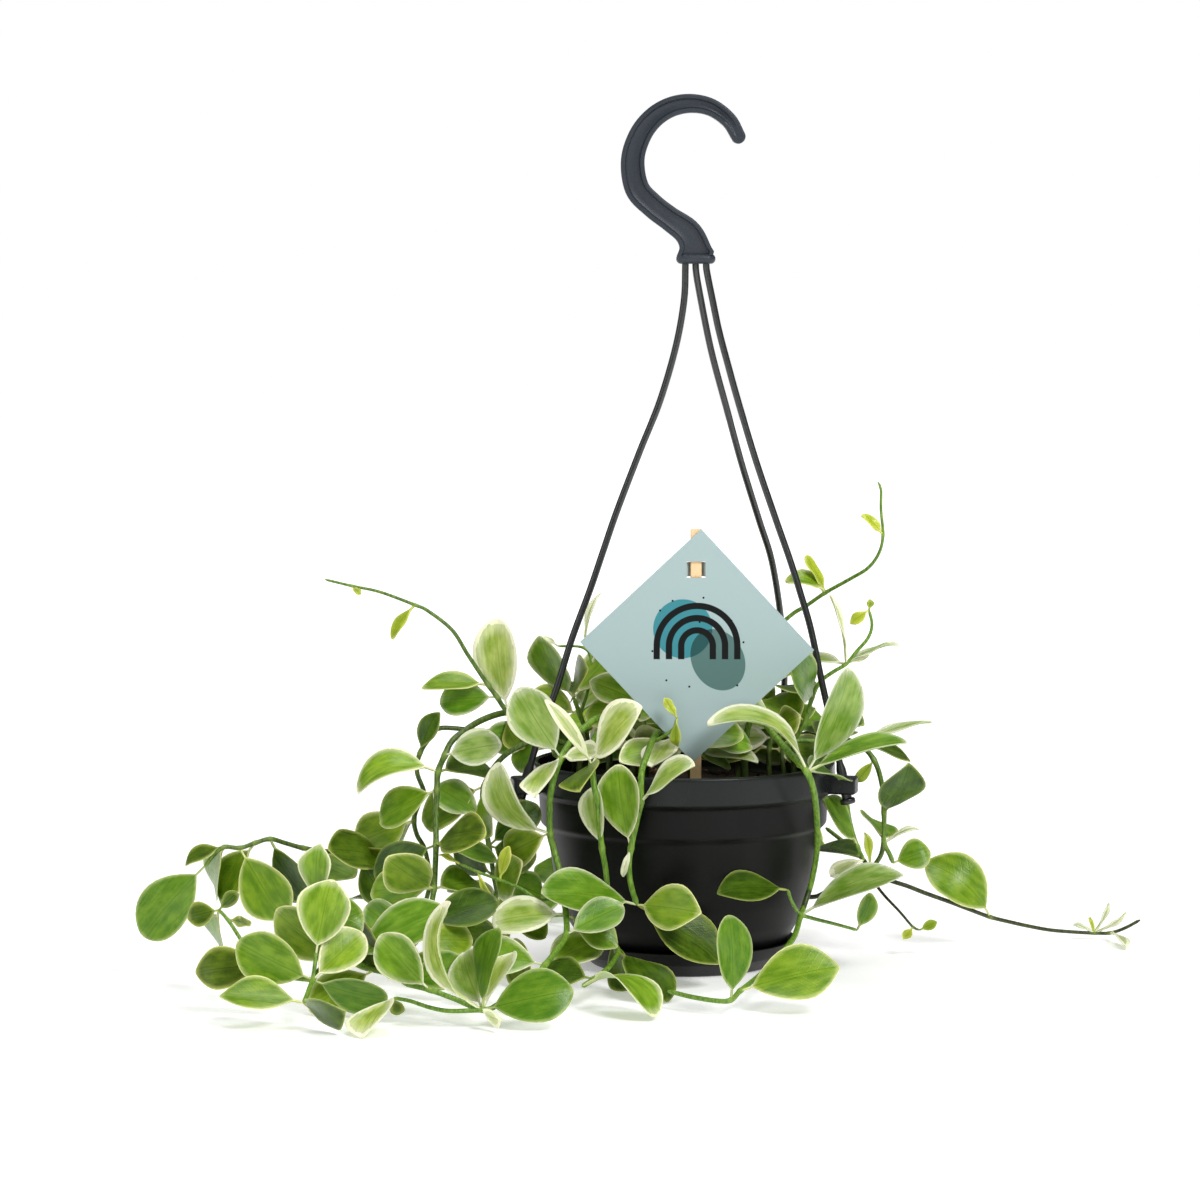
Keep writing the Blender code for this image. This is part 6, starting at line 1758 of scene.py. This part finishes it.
def make_floor():
    """A white sweep that lifts most of its own shade."""
    mesh = bpy.data.meshes.new("floor")
    mesh.from_pydata([(-FLOOR_HALF, -FLOOR_HALF, 0), (FLOOR_HALF, -FLOOR_HALF, 0),
                      (FLOOR_HALF, FLOOR_HALF, 0), (-FLOOR_HALF, FLOOR_HALF, 0)], [], [(0, 1, 2, 3)])
    floor = linked_object("floor", mesh)
    made, graph, shader = new_material("white_sweep", roughness=0.8, specular=0.1)
    shader["Base Color"].default_value = (0.9, 0.9, 0.9, 1.0)
    shader["Emission Color"].default_value = (1.0, 1.0, 1.0, 1.0)
    x, y, _ = graph.split(graph.place())
    squares = [graph.math("POWER", graph.math("ABSOLUTE", value), 2.0) for value in (x, y)]
    away = graph.math("SQRT", graph.math("ADD", *squares))
    graph.wire(graph.rise(away, *FLOOR_REACH, *FLOOR_GLOW), shader["Emission Strength"])
    mesh.materials.append(made)


def make_sky():
    """A white sky that is weaker in light and in reflections than to the eye."""
    world = bpy.data.worlds.new("studio")
    world.use_nodes = True
    graph = Graph(world.node_tree)
    sky = world.node_tree.nodes["Background"].inputs
    sky["Color"].default_value = (1.0, 1.0, 1.0, 1.0)
    rays = graph.add("ShaderNodeLightPath").outputs
    diffuse, mirrored, seen = SKY_GLOW
    glow = graph.rise(rays["Is Glossy Ray"], 0.0, 1.0, diffuse, mirrored)
    graph.wire(graph.rise(rays["Is Camera Ray"], 0.0, 1.0, glow, seen), sky["Strength"])
    bpy.context.scene.world = world
    bpy.context.scene.view_settings.view_transform = "Standard"


def make_lights():
    """The softboxes, all turned to the pot."""
    for name, (place, size, power) in LIGHTS.items():
        data = bpy.data.lights.new(name, "AREA")
        data.shape = "RECTANGLE"
        data.size, data.size_y = size
        data.energy = power
        lamp = linked_object(name, data)
        lamp.location = place
        lamp.rotation_euler = (Vector(LIGHTS_FACE) - Vector(place)).to_track_quat("-Z", "Y").to_euler()


def make_camera():
    """The photograph's view, with the eye level and lens that its ellipses give."""
    data = bpy.data.cameras.new("camera")
    data.lens = LENS
    data.sensor_width = SENSOR
    camera = linked_object("camera", data)
    camera.location = EYE * MM
    camera.rotation_euler = (math.pi / 2 - EYE_PITCH, 0.0, 0.0)
    bpy.context.scene.camera = camera


def main():
    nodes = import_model()["nodes"]
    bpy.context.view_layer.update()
    moulded = moulded_group()
    make_pot(pot_material(moulded))
    black, glossy, slate = [plastic(name, moulded) for name in PLASTICS]
    make_saucer(black)
    make_legs(glossy)
    make_hook(slate)
    paint_node(nodes["card"], card_material())
    paint_node(nodes["stick"], wood_material())
    paint_node(nodes["soil"], soil_material("peat", 0.0))
    crumbs = soil_material("bark_and_peat", BARK_SHARE)
    for name in CRUMBS:
        make_crumbs(name, crumbs)
    blades = leaf_group()
    greens = [stem_material()] + [leaf_material(kind, blades) for kind in KINDS]
    grown = grow_stems()
    poses = grow_leaves(grown, [nodes[name].data for name in sorted(nodes) if name not in VINES])
    for vine, stems in grown.items():
        make_vine(vine, stems, poses[vine], greens)
    make_floor()
    make_sky()
    make_lights()
    make_camera()
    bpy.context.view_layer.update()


main()
